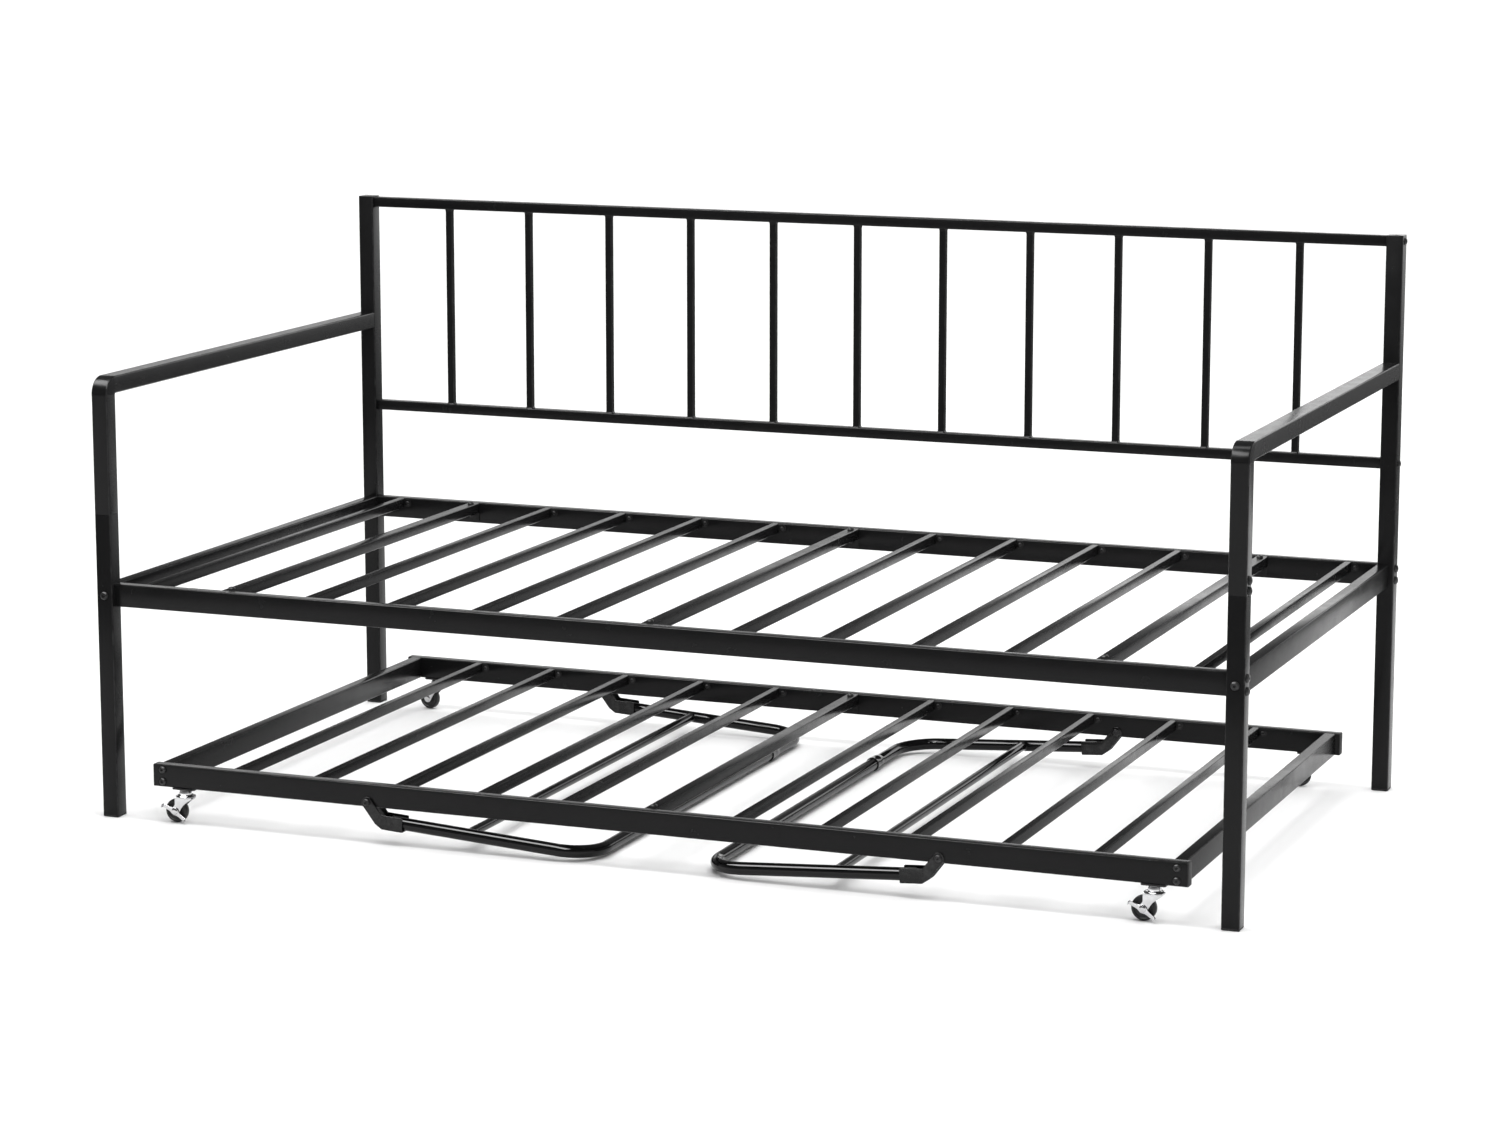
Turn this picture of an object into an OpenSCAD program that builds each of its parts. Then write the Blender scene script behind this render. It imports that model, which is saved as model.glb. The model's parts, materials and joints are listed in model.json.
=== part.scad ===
// Metal daybed with a roll-out trundle frame on folding legs.
// X runs along the length, -Y is the front, Z is up. Origin: floor, under the middle of the daybed.

/* [Daybed] */
// Overall length of the daybed over the posts
bed_length = 1960; // [1900:10:2060]
// Overall depth of the daybed over the posts
bed_depth = 1000; // [980:10:1060]
// Height of the back posts
back_height = 957; // [900:1:1000]
// Height of the arm rests
arm_height = 742; // [700:1:780]
// Height of the top of the deck slats
deck_height = 396; // [380:1:420]
// Height at which the arms plug into the front legs
seam_height = 513; // [480:1:560]
// Bottom of the lower back rail
back_lower_z = 559; // [540:1:600]
// Gap between the top of a back post and the top back rail
top_rail_drop = 1.5; // [0:0.5:4]

/* [Tubes] */
// Side of the square post and arm tube
post_size = 29; // [26:1:29]
// Height of the long deck rails and trundle rails
rail_height = 38; // [34:1:42]
// Height of the deck end rails
end_rail_height = 40; // [36:1:44]
// Depth of every deck and trundle rail
rail_depth = 20; // [18:1:22]
// Side of the square back rest rails
back_rail_size = 18; // [16:1:20]
// Side of the square spindles
spindle_size = 12; // [10:1:14]
// Wall of the posts, arms and rails
wall = 1.5; // [1:0.1:2]
// Outer radius of the arm's bend
arm_bend_radius = 30; // [30:1:45]

/* [Slats and spindles] */
// Width of a thin slat
slat_width = 12; // [10:1:16]
// Width of a bolted support slat
support_slat_width = 20; // [18:1:26]
// Height of every slat
slat_height = 18; // [16:1:22]
// Deck slats on each side of the middle one
deck_slats_each_side = 6; // [4:1:6]
// Spacing of the deck slats
deck_slat_pitch = 150; // [140:1:150]
// Spindles on each side of the middle one
spindles_each_side = 5; // [3:1:5]
// Spacing of the spindles
spindle_pitch = 160; // [140:1:160]
// Trundle slats on each side of the middle one
trundle_slats_each_side = 5; // [3:1:5]
// Spacing of the trundle slats
trundle_slat_pitch = 148.5; // [140:0.5:150]

/* [Trundle] */
// Length of the trundle's long rails
trundle_length = 1778; // [1740:2:1800]
// Depth of the trundle over its long rails
trundle_depth = 970; // [960:2:972]
// Front face of the trundle, behind the daybed's front
trundle_setback = 2; // [0:1:10]
// Sideways place of the parked trundle
trundle_shift = 8; // [-10:1:10]
// Height of the trundle rails' underside
trundle_bottom = 60; // [60:1:64]
// Inset of the trundle's end rails from the ends of its long rails
trundle_end_inset = 6; // [2:1:10]

/* [Folding legs] */
// Distance of each leg's pivot from the middle of the trundle
pivot_from_middle = 493; // [480:1:520]
// Height of the pivot above the underside of the rail
pivot_above_rail = 8; // [8:1:10]
// Drop from the pivot to the leg tube's axis
leg_drop = 29.2; // [29:0.1:29.5]
// Distance from the pivot to the axis of the foot tube
leg_reach = 397; // [370:1:400]
// Centreline radius of the leg's bends
leg_bend_radius = 62; // [40:1:70]
// Outer radius of the leg's front tube
leg_tube_radius = 10.5; // [9.5:0.5:10.5]
// Angle that the folded leg hangs at
leg_droop = 3.7; // [3:0.1:3.7]
// Distance from the pivot to the cross tube
cross_tube_reach = 177; // [150:1:220]
// Where the front tube enters the back tube's bell, from the middle of the bed
leg_joint_y = 282; // [200:1:320]

/* [Casters] */
// Distance of the casters from the ends of the trundle
caster_inset = 53; // [50:1:70]
// Radius of the wheel
wheel_radius = 20; // [18:0.5:20]
// Width of the wheel
wheel_width = 12; // [10:1:14]
// Trail of the wheel behind the swivel axis
caster_trail = 16; // [14:1:18]
// Direction that the front left wheel trails in
front_left_turn = 180; // [0:1:359]
// Direction that the front right wheel trails in
front_right_turn = 180; // [0:1:359]
// Direction that the back left wheel trails in
back_left_turn = 169; // [0:1:359]
// Direction that the back right wheel trails in
back_right_turn = 200; // [0:1:359]

/* [Hidden] */
$fn = 64;

frame_black = [0.09, 0.09, 0.10];
leg_black = [0.06, 0.06, 0.065];
plastic_black = [0.05, 0.05, 0.05];
bright_chrome = [0.80, 0.81, 0.83];

// Daybed
corner_radius = 2.5;
end_plate = 3;
cap_height = 3;
cap_plug_height = 18;
plug_gap = 0.2;
outer_x = bed_length / 2;
outer_y = bed_depth / 2;
post_x = outer_x - post_size / 2;
post_y = outer_y - post_size / 2;
inner_x = outer_x - post_size;
inner_y = outer_y - post_size;
rail_x = inner_x + rail_depth / 2;
rail_y = inner_y + rail_depth / 2;
rail_z = deck_height - rail_height / 2;
end_rail_z = deck_height - end_rail_height / 2;
back_top_z = back_height - top_rail_drop - back_rail_size / 2;
back_low_z = back_lower_z + back_rail_size / 2;
spindle_bottom = back_lower_z + back_rail_size;
spindle_top = back_top_z - back_rail_size / 2;
arm_axis_z = arm_height - post_size / 2;
slat_z = deck_height - slat_height / 2;
support_every = 5;

// Fasteners: M8 for the frame, M6 for the rest, with clearance in the holes
m8 = 3.9;
m6 = 3;
m8_head = 7;
m6_head = 6;
m8_head_height = 4;
m6_head_height = 3.5;
hole_gap = 0.1;
bolt_spacing = 20;
arm_bolt_low = 6;
arm_bolt_spacing = 16;
sleeve_length = 116;
bolt_reach = 12;

// Slat brackets
tab_width = 14;
tab_height = 14;
tab_thickness = 1.5;
screw_radius = 1.8;
screw_head_radius = 3.5;
screw_head_height = 2.2;
shelf_depth = 30;
shelf_height = 16;
nut_radius = 5.5;
nut_height = 4;

// Trundle
trundle_left = trundle_shift - trundle_length / 2;
trundle_right = trundle_shift + trundle_length / 2;
trundle_front_y = trundle_setback - outer_y + rail_depth / 2;
trundle_back_y = trundle_setback - outer_y + trundle_depth - rail_depth / 2;
trundle_inner_front = trundle_front_y + rail_depth / 2;
trundle_inner_back = trundle_back_y - rail_depth / 2;
trundle_rail_z = trundle_bottom + rail_height / 2;
trundle_top = trundle_bottom + rail_height;
trundle_slat_z = trundle_top - slat_height / 2;
end_rail_offset = trundle_end_inset + rail_depth / 2;
plug_lip = 2;
plug_depth = 6;

// Folding legs, drawn in a frame with the pivot at its origin and the free end towards +x
pivot_z = trundle_bottom + pivot_above_rail;
leg_tube_wall = 1.3;
leg_tube_start = 42;
back_tube_radius = leg_tube_radius - 0.5;
bell_length = 18;
bell_taper = 20;
bell_radius = leg_tube_radius + 1.6;
spigot_length = 16;
spigot_gap = 0.1;
cross_tube_radius = 8;
cope_gap = 0.02;
bracket_head_radius = 9.5;
bracket_plate = 2.4;
bracket_gap = 0.6;
bracket_end = 66;
bracket_top = leg_drop - 12;
bracket_elbow = [17, -34];
bracket_chamfer_x = 29;
bracket_notch_x = 27.7;
web_plate = 1.4;
web_gap = 0.1;
bracket_bottom = leg_drop + leg_tube_radius + web_gap + web_plate;
pivot_bolt_gap = 0.05;
pivot_head_height = 2.8;
pivot_head_gap = 0.2;

// Casters, drawn with the swivel axis at the origin and the wheel trailing towards +x
plate_length = 40;
plate_width = 22;
plate_height = 2.8;
race_radius = 10;
crown_radius = 17;
crown_top = 47.6;
crown_height = 2.6;
fork_gap = 1;
fork_plate = 1.8;
boss_radius = 7.5;
axle_radius = 4;
axle_gap = 0.05;
axle_head_radius = 5.6;
axle_head_height = 1.8;
kingpin_radius = 4;
kingpin_head_radius = 6.5;
kingpin_head_height = 1.6;
running_gap = 0.4;
lever_plate = 1.6;
lever_boss = 6;
lever_tab = 8;

// Direction from c at which a line from p touches the circle of radius r, on side s (1 or -1)
function touch(p, c, r, s) = let (d = p - c) atan2(d.y, d.x) + s * acos(r / norm(d));

// Points on a circle of radius r round c, from direction a to direction b
function arc(c, r, a, b, steps) =
    [for (i = [0 : steps]) let (turn = a + (b - a) * i / steps) c + r * [cos(turn), sin(turn)]];

// Flat outlines
module rounded_rect(w, h, r) {
    square([w - 2 * r, h], center = true);
    square([w, h - 2 * r], center = true);
    for (x = [-1, 1], y = [-1, 1])
        translate([x * (w / 2 - r), y * (h / 2 - r)]) circle(r = r);
}

// A tube along z from 0 to length; end walls of thickness low and high close it, or 0 leaves it open
module tube(length, w, h, t = wall, low = 0, high = 0, r = corner_radius) {
    start = low > 0 ? low : -1;
    stop = high > 0 ? length - high : length + 1;
    difference() {
        linear_extrude(length) rounded_rect(w, h, r);
        translate([0, 0, start]) linear_extrude(stop - start)
            rounded_rect(w - 2 * t, h - 2 * t, max(r - t, 0.5));
    }
}

module along_x(x, y, z) {
    translate([x, y, z]) rotate([90, 0, 90]) children();
}

module along_y(x, y, z) {
    translate([x, y, z]) rotate([-90, 0, 0]) children();
}

// A hole or a shank along one axis, centred on the point
module pin_x(x, y, z, r, length) {
    translate([x, y, z]) rotate([0, 90, 0]) cylinder(r = r, h = length, center = true);
}

module pin_y(x, y, z, r, length) {
    translate([x, y, z]) rotate([90, 0, 0]) cylinder(r = r, h = length, center = true);
}

// A button-head bolt: the head's seat is at z = 0, the shank runs towards +z
module bolt(r, head_r, head_h, length) {
    difference() {
        union() {
            translate([0, 0, -head_h / 2]) cylinder(r = head_r, h = head_h / 2);
            translate([0, 0, -head_h]) cylinder(r1 = head_r * 0.62, r2 = head_r, h = head_h / 2);
            cylinder(r = r, h = length);
        }
        translate([0, 0, -head_h - 1]) cylinder(r = head_r * 0.42, h = head_h * 0.6 + 1, $fn = 6);
    }
}

// Heights of the two bolts at each end of a long rail
function pair(z) = [z - bolt_spacing / 2, z + bolt_spacing / 2];

// Holes that every post has at deck height
module deck_bolt_holes(sx, sy) {
    for (z = pair(rail_z))
        pin_x(sx * post_x, sy * post_y, z, m8 + hole_gap, post_size + 4);
    pin_y(sx * post_x, sy * post_y, rail_z, m8 + hole_gap, post_size + 4);
}

module front_leg(sx) {
    color(frame_black)
    difference() {
        translate([sx * post_x, -post_y, cap_height])
            tube(seam_height - cap_height, post_size, post_size);
        deck_bolt_holes(sx, -1);
    }
}

module front_left_leg() {
    front_leg(-1);
}

module front_right_leg() {
    front_leg(1);
}

// The arm's outline: up the front, round the bend and back to the post
module arm_solid(w, r, extra) {
    bend_y = arm_bend_radius - post_size / 2;
    bend_z = arm_axis_z - bend_y;
    translate([0, 0, seam_height - extra])
        linear_extrude(bend_z - seam_height + extra) rounded_rect(w, w, r);
    translate([0, bend_y, bend_z]) rotate([90, 0, -90])
        rotate_extrude(angle = 90) translate([bend_y, 0]) rounded_rect(w, w, r);
    along_y(0, bend_y, arm_axis_z)
        linear_extrude(2 * inner_y + post_size / 2 - bend_y + extra) rounded_rect(w, w, r);
}

module arm(sx) {
    color(frame_black)
    difference() {
        translate([sx * post_x, -post_y, 0]) difference() {
            arm_solid(post_size, corner_radius, 0);
            intersection() {
                arm_solid(post_size - 2 * wall, corner_radius - wall, 1);
                translate([-post_size, -post_size, 0])
                    cube([2 * post_size, 2 * inner_y + 1.5 * post_size - end_plate, arm_height]);
            }
        }
        for (i = [0, 1])
            pin_x(sx * post_x, -post_y, seam_height + arm_bolt_low + i * arm_bolt_spacing,
                  m6 + hole_gap, post_size + 4);
        pin_y(sx * post_x, inner_y, arm_axis_z, m6 + hole_gap, 4 * end_plate);
    }
}

module left_arm() {
    arm(-1);
}

module right_arm() {
    arm(1);
}

module arm_sleeves() {
    size = post_size - 2 * wall - 2 * plug_gap;
    color(frame_black)
    for (sx = [-1, 1])
        difference() {
            translate([sx * post_x, -post_y, seam_height - sleeve_length / 2])
                tube(sleeve_length, size, size, wall, 0, 0, corner_radius - wall);
            for (i = [0, 1])
                pin_x(sx * post_x, -post_y, seam_height + arm_bolt_low + i * arm_bolt_spacing,
                      m6 + hole_gap, post_size);
        }
}

module back_post(sx) {
    color(frame_black)
    difference() {
        translate([sx * post_x, post_y, cap_height])
            tube(back_height - cap_height, post_size, post_size, wall, 0, wall);
        deck_bolt_holes(sx, 1);
        for (z = [back_low_z, back_top_z])
            pin_x(sx * post_x, post_y, z, m6 + hole_gap, post_size + 4);
        pin_y(sx * post_x, post_y, arm_axis_z, m6 + hole_gap, post_size + 4);
    }
}

module back_left_post() {
    back_post(-1);
}

module back_right_post() {
    back_post(1);
}

module foot_caps() {
    size = post_size - 2 * wall - 2 * plug_gap;
    color(plastic_black)
    for (sx = [-1, 1], sy = [-1, 1])
        translate([sx * post_x, sy * post_y, 0]) {
            linear_extrude(cap_height) rounded_rect(post_size, post_size, corner_radius);
            translate([0, 0, cap_height]) linear_extrude(cap_plug_height)
                rounded_rect(size, size, corner_radius - wall);
        }
}

// A long deck rail between the posts, on side sy
module deck_rail(sy) {
    color(frame_black)
    difference() {
        along_x(-inner_x, sy * rail_y, rail_z)
            tube(2 * inner_x, rail_depth, rail_height, wall, end_plate, end_plate);
        for (sx = [-1, 1], z = pair(rail_z))
            pin_x(sx * inner_x, sy * post_y, z, m8 + hole_gap, 4 * end_plate);
    }
}

module front_rail() {
    deck_rail(-1);
}

module back_rail() {
    deck_rail(1);
}

module deck_end_rail(sx) {
    color(frame_black)
    difference() {
        along_y(sx * rail_x, -inner_y, end_rail_z)
            tube(2 * inner_y, rail_depth, end_rail_height, wall, end_plate, end_plate);
        for (sy = [-1, 1])
            pin_y(sx * post_x, sy * inner_y, rail_z, m8 + hole_gap, 4 * end_plate);
    }
}

module left_end_rail() {
    deck_end_rail(-1);
}

module right_end_rail() {
    deck_end_rail(1);
}

// Slats numbered from the middle; every fifth one is a wide support slat
function is_support(k) = k % support_every == 0;

// A thin slat from y0 to y1 at x, and its tab and screw at one end (sy says which)
module slat(x, y0, y1, z, width) {
    along_y(x, y0, z) tube(y1 - y0, width, slat_height, wall, 0, 0, corner_radius - 1);
}

module slat_tab(x, y, z, sy) {
    tab_x = x + slat_width / 2;
    low_y = sy > 0 ? y - tab_thickness : y;
    translate([tab_x, low_y + tab_thickness, z]) rotate([90, 0, 0]) linear_extrude(tab_thickness)
        difference() {
            union() {
                translate([0, -tab_height / 2]) square([tab_width - tab_height / 2, tab_height]);
                translate([tab_width - tab_height / 2, 0]) circle(r = tab_height / 2);
            }
            translate([tab_width - tab_height / 2, 0]) circle(r = screw_radius + hole_gap);
        }
}

module slat_screw(x, y, z, sy) {
    translate([x + slat_width / 2 + tab_width - tab_height / 2, y - sy * tab_thickness, z])
        rotate([-sy * 90, 0, 0])
        bolt(screw_radius, screw_head_radius, screw_head_height, tab_thickness);
}

// The L-shaped shelf under one end of a support slat
module slat_shelf(x, y, z, sy) {
    under = z - slat_height / 2;
    y0 = sy > 0 ? y - shelf_depth : y;
    y1 = sy > 0 ? y - tab_thickness : y;
    half = support_slat_width / 2;
    difference() {
        union() {
            translate([x - half, y0, under - tab_thickness])
                cube([support_slat_width, shelf_depth, tab_thickness]);
            translate([x - half, y1, under - shelf_height])
                cube([support_slat_width, tab_thickness, shelf_height - tab_thickness / 2]);
        }
        translate([x, y - sy * shelf_depth / 2, under - 5])
            cylinder(r = m6 + hole_gap, h = 10);
    }
}

module support_slat(x, y0, y1, z) {
    difference() {
        slat(x, y0, y1, z, support_slat_width);
        for (y = [y0 + shelf_depth / 2, y1 - shelf_depth / 2])
            translate([x, y, z]) cylinder(r = m6 + hole_gap, h = slat_height + 4, center = true);
    }
}

module support_bolt(x, y, z, sy) {
    grip = slat_height + tab_thickness + nut_height + 1;
    at_y = y - sy * shelf_depth / 2;
    translate([x, at_y, z + slat_height / 2]) rotate([180, 0, 0])
        bolt(m6, m6_head, m6_head_height, grip);
    translate([x, at_y, z - slat_height / 2 - tab_thickness - nut_height]) difference() {
        cylinder(r = nut_radius, h = nut_height, $fn = 6);
        translate([0, 0, -1]) cylinder(r = m6 + hole_gap, h = nut_height + 2);
    }
}

module deck_slats() {
    color(frame_black)
    for (k = [-deck_slats_each_side : deck_slats_each_side])
        if (!is_support(k))
            slat(k * deck_slat_pitch, -inner_y, inner_y, slat_z, slat_width);
}

module deck_support_slats() {
    color(frame_black)
    for (k = [-deck_slats_each_side : deck_slats_each_side])
        if (is_support(k))
            support_slat(k * deck_slat_pitch, -inner_y, inner_y, slat_z);
}

module deck_slat_brackets() {
    color(frame_black)
    for (k = [-deck_slats_each_side : deck_slats_each_side], sy = [-1, 1])
        if (is_support(k))
            slat_shelf(k * deck_slat_pitch, sy * inner_y, slat_z, sy);
        else
            slat_tab(k * deck_slat_pitch, sy * inner_y, slat_z, sy);
}

module deck_slat_screws() {
    color(plastic_black)
    for (k = [-deck_slats_each_side : deck_slats_each_side], sy = [-1, 1])
        if (is_support(k))
            support_bolt(k * deck_slat_pitch, sy * inner_y, slat_z, sy);
        else
            slat_screw(k * deck_slat_pitch, sy * inner_y, slat_z, sy);
}

// A back rest rail between the back posts at height z
module back_rest_rail(z) {
    color(frame_black)
    difference() {
        along_x(-inner_x, post_y, z)
            tube(2 * inner_x, back_rail_size, back_rail_size, wall, end_plate, end_plate,
                 corner_radius - 0.5);
        for (sx = [-1, 1])
            pin_x(sx * inner_x, post_y, z, m6 + hole_gap, 4 * end_plate);
    }
}

module back_top_rail() {
    back_rest_rail(back_top_z);
}

module back_lower_rail() {
    back_rest_rail(back_low_z);
}

module back_spindles() {
    color(frame_black)
    for (k = [-spindles_each_side : spindles_each_side])
        translate([k * spindle_pitch, post_y, spindle_bottom])
            tube(spindle_top - spindle_bottom, spindle_size, spindle_size, 1, 0, 0,
                 corner_radius - 1);
}

// Bolts that hold the deck rails and the arms
module frame_bolts() {
    reach = post_size + end_plate + bolt_reach;
    color(plastic_black)
    for (sx = [-1, 1]) {
        for (sy = [-1, 1]) {
            for (z = pair(rail_z))
                translate([sx * outer_x, sy * post_y, z]) rotate([0, -sx * 90, 0])
                    bolt(m8, m8_head, m8_head_height, reach);
            translate([sx * post_x, sy * outer_y, rail_z]) rotate([sy * 90, 0, 0])
                bolt(m8, m8_head, m8_head_height, reach);
        }
        for (i = [0, 1])
            translate([sx * outer_x, -post_y, seam_height + arm_bolt_low + i * arm_bolt_spacing])
                rotate([0, -sx * 90, 0])
                bolt(m6, m8_head, m8_head_height, post_size - 4);
        translate([sx * post_x, outer_y, arm_axis_z]) rotate([90, 0, 0])
            bolt(m6, m6_head, m6_head_height, reach);
    }
}

module back_bolts() {
    color(plastic_black)
    for (sx = [-1, 1], z = [back_low_z, back_top_z])
        translate([sx * outer_x, post_y, z]) rotate([0, -sx * 90, 0])
            bolt(m6, m6_head, m6_head_height, post_size + end_plate + bolt_reach);
}

// Trundle
function end_rail_place(sx) = sx < 0 ? trundle_left + end_rail_offset : trundle_right - end_rail_offset;

function pivot_x(sx) = trundle_shift + sx * pivot_from_middle;

module trundle_long_rail(y) {
    color(frame_black)
    difference() {
        along_x(trundle_left, y, trundle_rail_z) tube(trundle_length, rail_depth, rail_height);
        for (sx = [-1, 1]) {
            for (z = pair(trundle_rail_z))
                pin_y(end_rail_place(sx), y, z, m6 + hole_gap, rail_depth + 4);
            pin_y(pivot_x(sx), y, pivot_z, m8 + hole_gap, rail_depth + 4);
        }
    }
}

module trundle_front_rail() {
    trundle_long_rail(trundle_front_y);
}

module trundle_back_rail() {
    trundle_long_rail(trundle_back_y);
}

module trundle_end_rail(sx) {
    span = trundle_inner_back - trundle_inner_front;
    color(frame_black)
    difference() {
        along_y(end_rail_place(sx), trundle_inner_front, trundle_rail_z)
            tube(span, rail_depth, rail_height, wall, end_plate, end_plate);
        for (y = [trundle_inner_front, trundle_inner_back], z = pair(trundle_rail_z))
            pin_y(end_rail_place(sx), y, z, m6 + hole_gap, 4 * end_plate);
    }
}

module trundle_left_rail() {
    trundle_end_rail(-1);
}

module trundle_right_rail() {
    trundle_end_rail(1);
}

module trundle_end_plugs() {
    inside = 2 * wall + 2 * plug_gap;
    color(plastic_black)
    for (y = [trundle_front_y, trundle_back_y])
        for (sx = [-1, 1])
            translate([sx < 0 ? trundle_left : trundle_right, y, trundle_rail_z])
                rotate([0, 0, sx < 0 ? 0 : 180]) rotate([90, 0, 90]) {
                    translate([0, 0, -plug_lip]) linear_extrude(plug_lip)
                        rounded_rect(rail_depth, rail_height, corner_radius);
                    linear_extrude(plug_depth)
                        rounded_rect(rail_depth - inside, rail_height - inside,
                                     corner_radius - wall);
                }
}

module trundle_slats() {
    color(frame_black)
    for (k = [-trundle_slats_each_side : trundle_slats_each_side])
        if (k != 0)
            slat(trundle_shift + k * trundle_slat_pitch, trundle_inner_front,
                 trundle_inner_back, trundle_slat_z, slat_width);
}

module trundle_centre_slat() {
    color(frame_black)
    support_slat(trundle_shift, trundle_inner_front, trundle_inner_back, trundle_slat_z);
}

function trundle_inner(sy) = sy < 0 ? trundle_inner_front : trundle_inner_back;

module trundle_slat_brackets() {
    color(frame_black)
    for (k = [-trundle_slats_each_side : trundle_slats_each_side], sy = [-1, 1])
        if (k == 0)
            slat_shelf(trundle_shift, trundle_inner(sy), trundle_slat_z, sy);
        else
            slat_tab(trundle_shift + k * trundle_slat_pitch, trundle_inner(sy), trundle_slat_z, sy);
}

module trundle_slat_screws() {
    color(plastic_black)
    for (k = [-trundle_slats_each_side : trundle_slats_each_side], sy = [-1, 1])
        if (k == 0)
            support_bolt(trundle_shift, trundle_inner(sy), trundle_slat_z, sy);
        else
            slat_screw(trundle_shift + k * trundle_slat_pitch, trundle_inner(sy), trundle_slat_z, sy);
}

module trundle_bolts() {
    color(plastic_black)
    for (sx = [-1, 1], z = pair(trundle_rail_z)) {
        translate([end_rail_place(sx), trundle_front_y - rail_depth / 2, z]) rotate([-90, 0, 0])
            bolt(m6, m6_head, m6_head_height, rail_depth + end_plate + bolt_reach);
        translate([end_rail_place(sx), trundle_back_y + rail_depth / 2, z]) rotate([90, 0, 0])
            bolt(m6, m6_head, m6_head_height, rail_depth + end_plate + bolt_reach);
    }
}

// A pivot bolt and its nut, through a rail and both plates of a bracket
module leg_pivot_bolts() {
    half = rail_depth / 2 + bracket_gap + bracket_plate + pivot_head_gap;
    color(plastic_black)
    for (sx = [-1, 1], sy = [-1, 1])
        translate([pivot_x(sx), sy < 0 ? trundle_front_y : trundle_back_y, pivot_z]) {
            translate([0, sy * half, 0]) rotate([sy * 90, 0, 0])
                bolt(m8, m6_head, pivot_head_height, 2 * half + nut_height);
            translate([0, -sy * half, 0]) rotate([sy * 90, 0, 0]) difference() {
                cylinder(r = nut_radius + 1, h = nut_height - 1, $fn = 6);
                translate([0, 0, -1]) cylinder(r = m8 + hole_gap, h = nut_height + 2);
            }
        }
}

// Folding legs
module leg_place(sx) {
    translate([pivot_x(sx), 0, pivot_z]) mirror([sx > 0 ? 1 : 0, 0, 0])
        rotate([0, leg_droop, 0]) children();
}

// The front tube's path at radius r: arm, bend and the long foot tube with its plain end
module front_pipe(r, extra) {
    bend_x = leg_reach - leg_bend_radius;
    bend_y = trundle_front_y + leg_bend_radius;
    translate([leg_tube_start - extra, trundle_front_y, -leg_drop]) rotate([0, 90, 0])
        cylinder(r = r, h = bend_x - leg_tube_start + extra);
    translate([bend_x, bend_y, -leg_drop]) rotate([0, 0, -90])
        rotate_extrude(angle = 90) translate([leg_bend_radius, 0]) circle(r = r);
    along_y(leg_reach, bend_y, -leg_drop)
        cylinder(r = r, h = leg_joint_y + spigot_length - bend_y + extra);
}

// The back tube's path at radius r: arm, bend and the short foot tube up to the bell
module back_pipe(r, extra) {
    bend_x = leg_reach - leg_bend_radius;
    bend_y = trundle_back_y - leg_bend_radius;
    bell_end = leg_joint_y + bell_length;
    translate([leg_tube_start - extra, trundle_back_y, -leg_drop]) rotate([0, 90, 0])
        cylinder(r = r, h = bend_x - leg_tube_start + extra);
    translate([bend_x, bend_y, -leg_drop])
        rotate_extrude(angle = 90) translate([leg_bend_radius, 0]) circle(r = r);
    along_y(leg_reach, bell_end - extra, -leg_drop)
        cylinder(r = r, h = bend_y - bell_end + extra);
}

module leg_front_tube(sx) {
    color(leg_black)
    leg_place(sx) difference() {
        front_pipe(leg_tube_radius, 0);
        front_pipe(leg_tube_radius - leg_tube_wall, 1);
    }
}

module leg_back_tube(sx) {
    color(leg_black)
    leg_place(sx) difference() {
        union() {
            back_pipe(back_tube_radius, 0);
            along_y(leg_reach, leg_joint_y, -leg_drop)
                cylinder(r = bell_radius, h = bell_length);
            along_y(leg_reach, leg_joint_y + bell_length, -leg_drop)
                cylinder(r1 = bell_radius, r2 = back_tube_radius, h = bell_taper);
        }
        back_pipe(back_tube_radius - leg_tube_wall, 1);
        along_y(leg_reach, leg_joint_y - 1, -leg_drop)
            cylinder(r = leg_tube_radius + spigot_gap, h = bell_length + 1);
    }
}

module leg_cross_tube(sx) {
    color(leg_black)
    leg_place(sx) difference() {
        along_y(cross_tube_reach, trundle_front_y, -leg_drop)
            difference() {
                cylinder(r = cross_tube_radius, h = trundle_back_y - trundle_front_y);
                translate([0, 0, -1])
                    cylinder(r = cross_tube_radius - leg_tube_wall, h = trundle_depth);
            }
        for (cope = [[trundle_front_y, leg_tube_radius], [trundle_back_y, back_tube_radius]])
            pin_x(cross_tube_reach, cope[0], -leg_drop, cope[1] + cope_gap, 4 * cross_tube_radius);
    }
}

// Side plate of an elbow bracket
module bracket_outline() {
    head = [0, 0];
    notch = [bracket_notch_x, -bracket_top];
    difference() {
        polygon(concat(
            [
                bracket_elbow,
                [bracket_chamfer_x, -bracket_bottom],
                [bracket_end, -bracket_bottom],
                [bracket_end, -bracket_top],
                notch
            ],
            arc(head, bracket_head_radius, touch(notch, head, bracket_head_radius, 1),
                360 + touch(bracket_elbow, head, bracket_head_radius, -1), 18)
        ));
        circle(r = m8 + pivot_bolt_gap);
    }
}

// Strip that joins the two side plates under the tube and stops the open leg against the rail
module bracket_web_outline() {
    polygon([
        bracket_elbow,
        [bracket_chamfer_x, -bracket_bottom],
        [bracket_end, -bracket_bottom],
        [bracket_end, web_plate - bracket_bottom],
        [bracket_chamfer_x + 1, web_plate - bracket_bottom],
        bracket_elbow + web_plate * [1, 1]
    ]);
}

module leg_bracket(sx, y) {
    inner = rail_depth / 2 + bracket_gap;
    color(leg_black)
    leg_place(sx) translate([0, y, 0]) {
        for (side = [-inner, inner + bracket_plate])
            translate([0, side, 0]) rotate([90, 0, 0])
                linear_extrude(bracket_plate) bracket_outline();
        translate([0, inner, 0]) rotate([90, 0, 0])
            linear_extrude(2 * inner) bracket_web_outline();
    }
}

module left_leg_front_tube() {
    leg_front_tube(-1);
}

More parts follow.
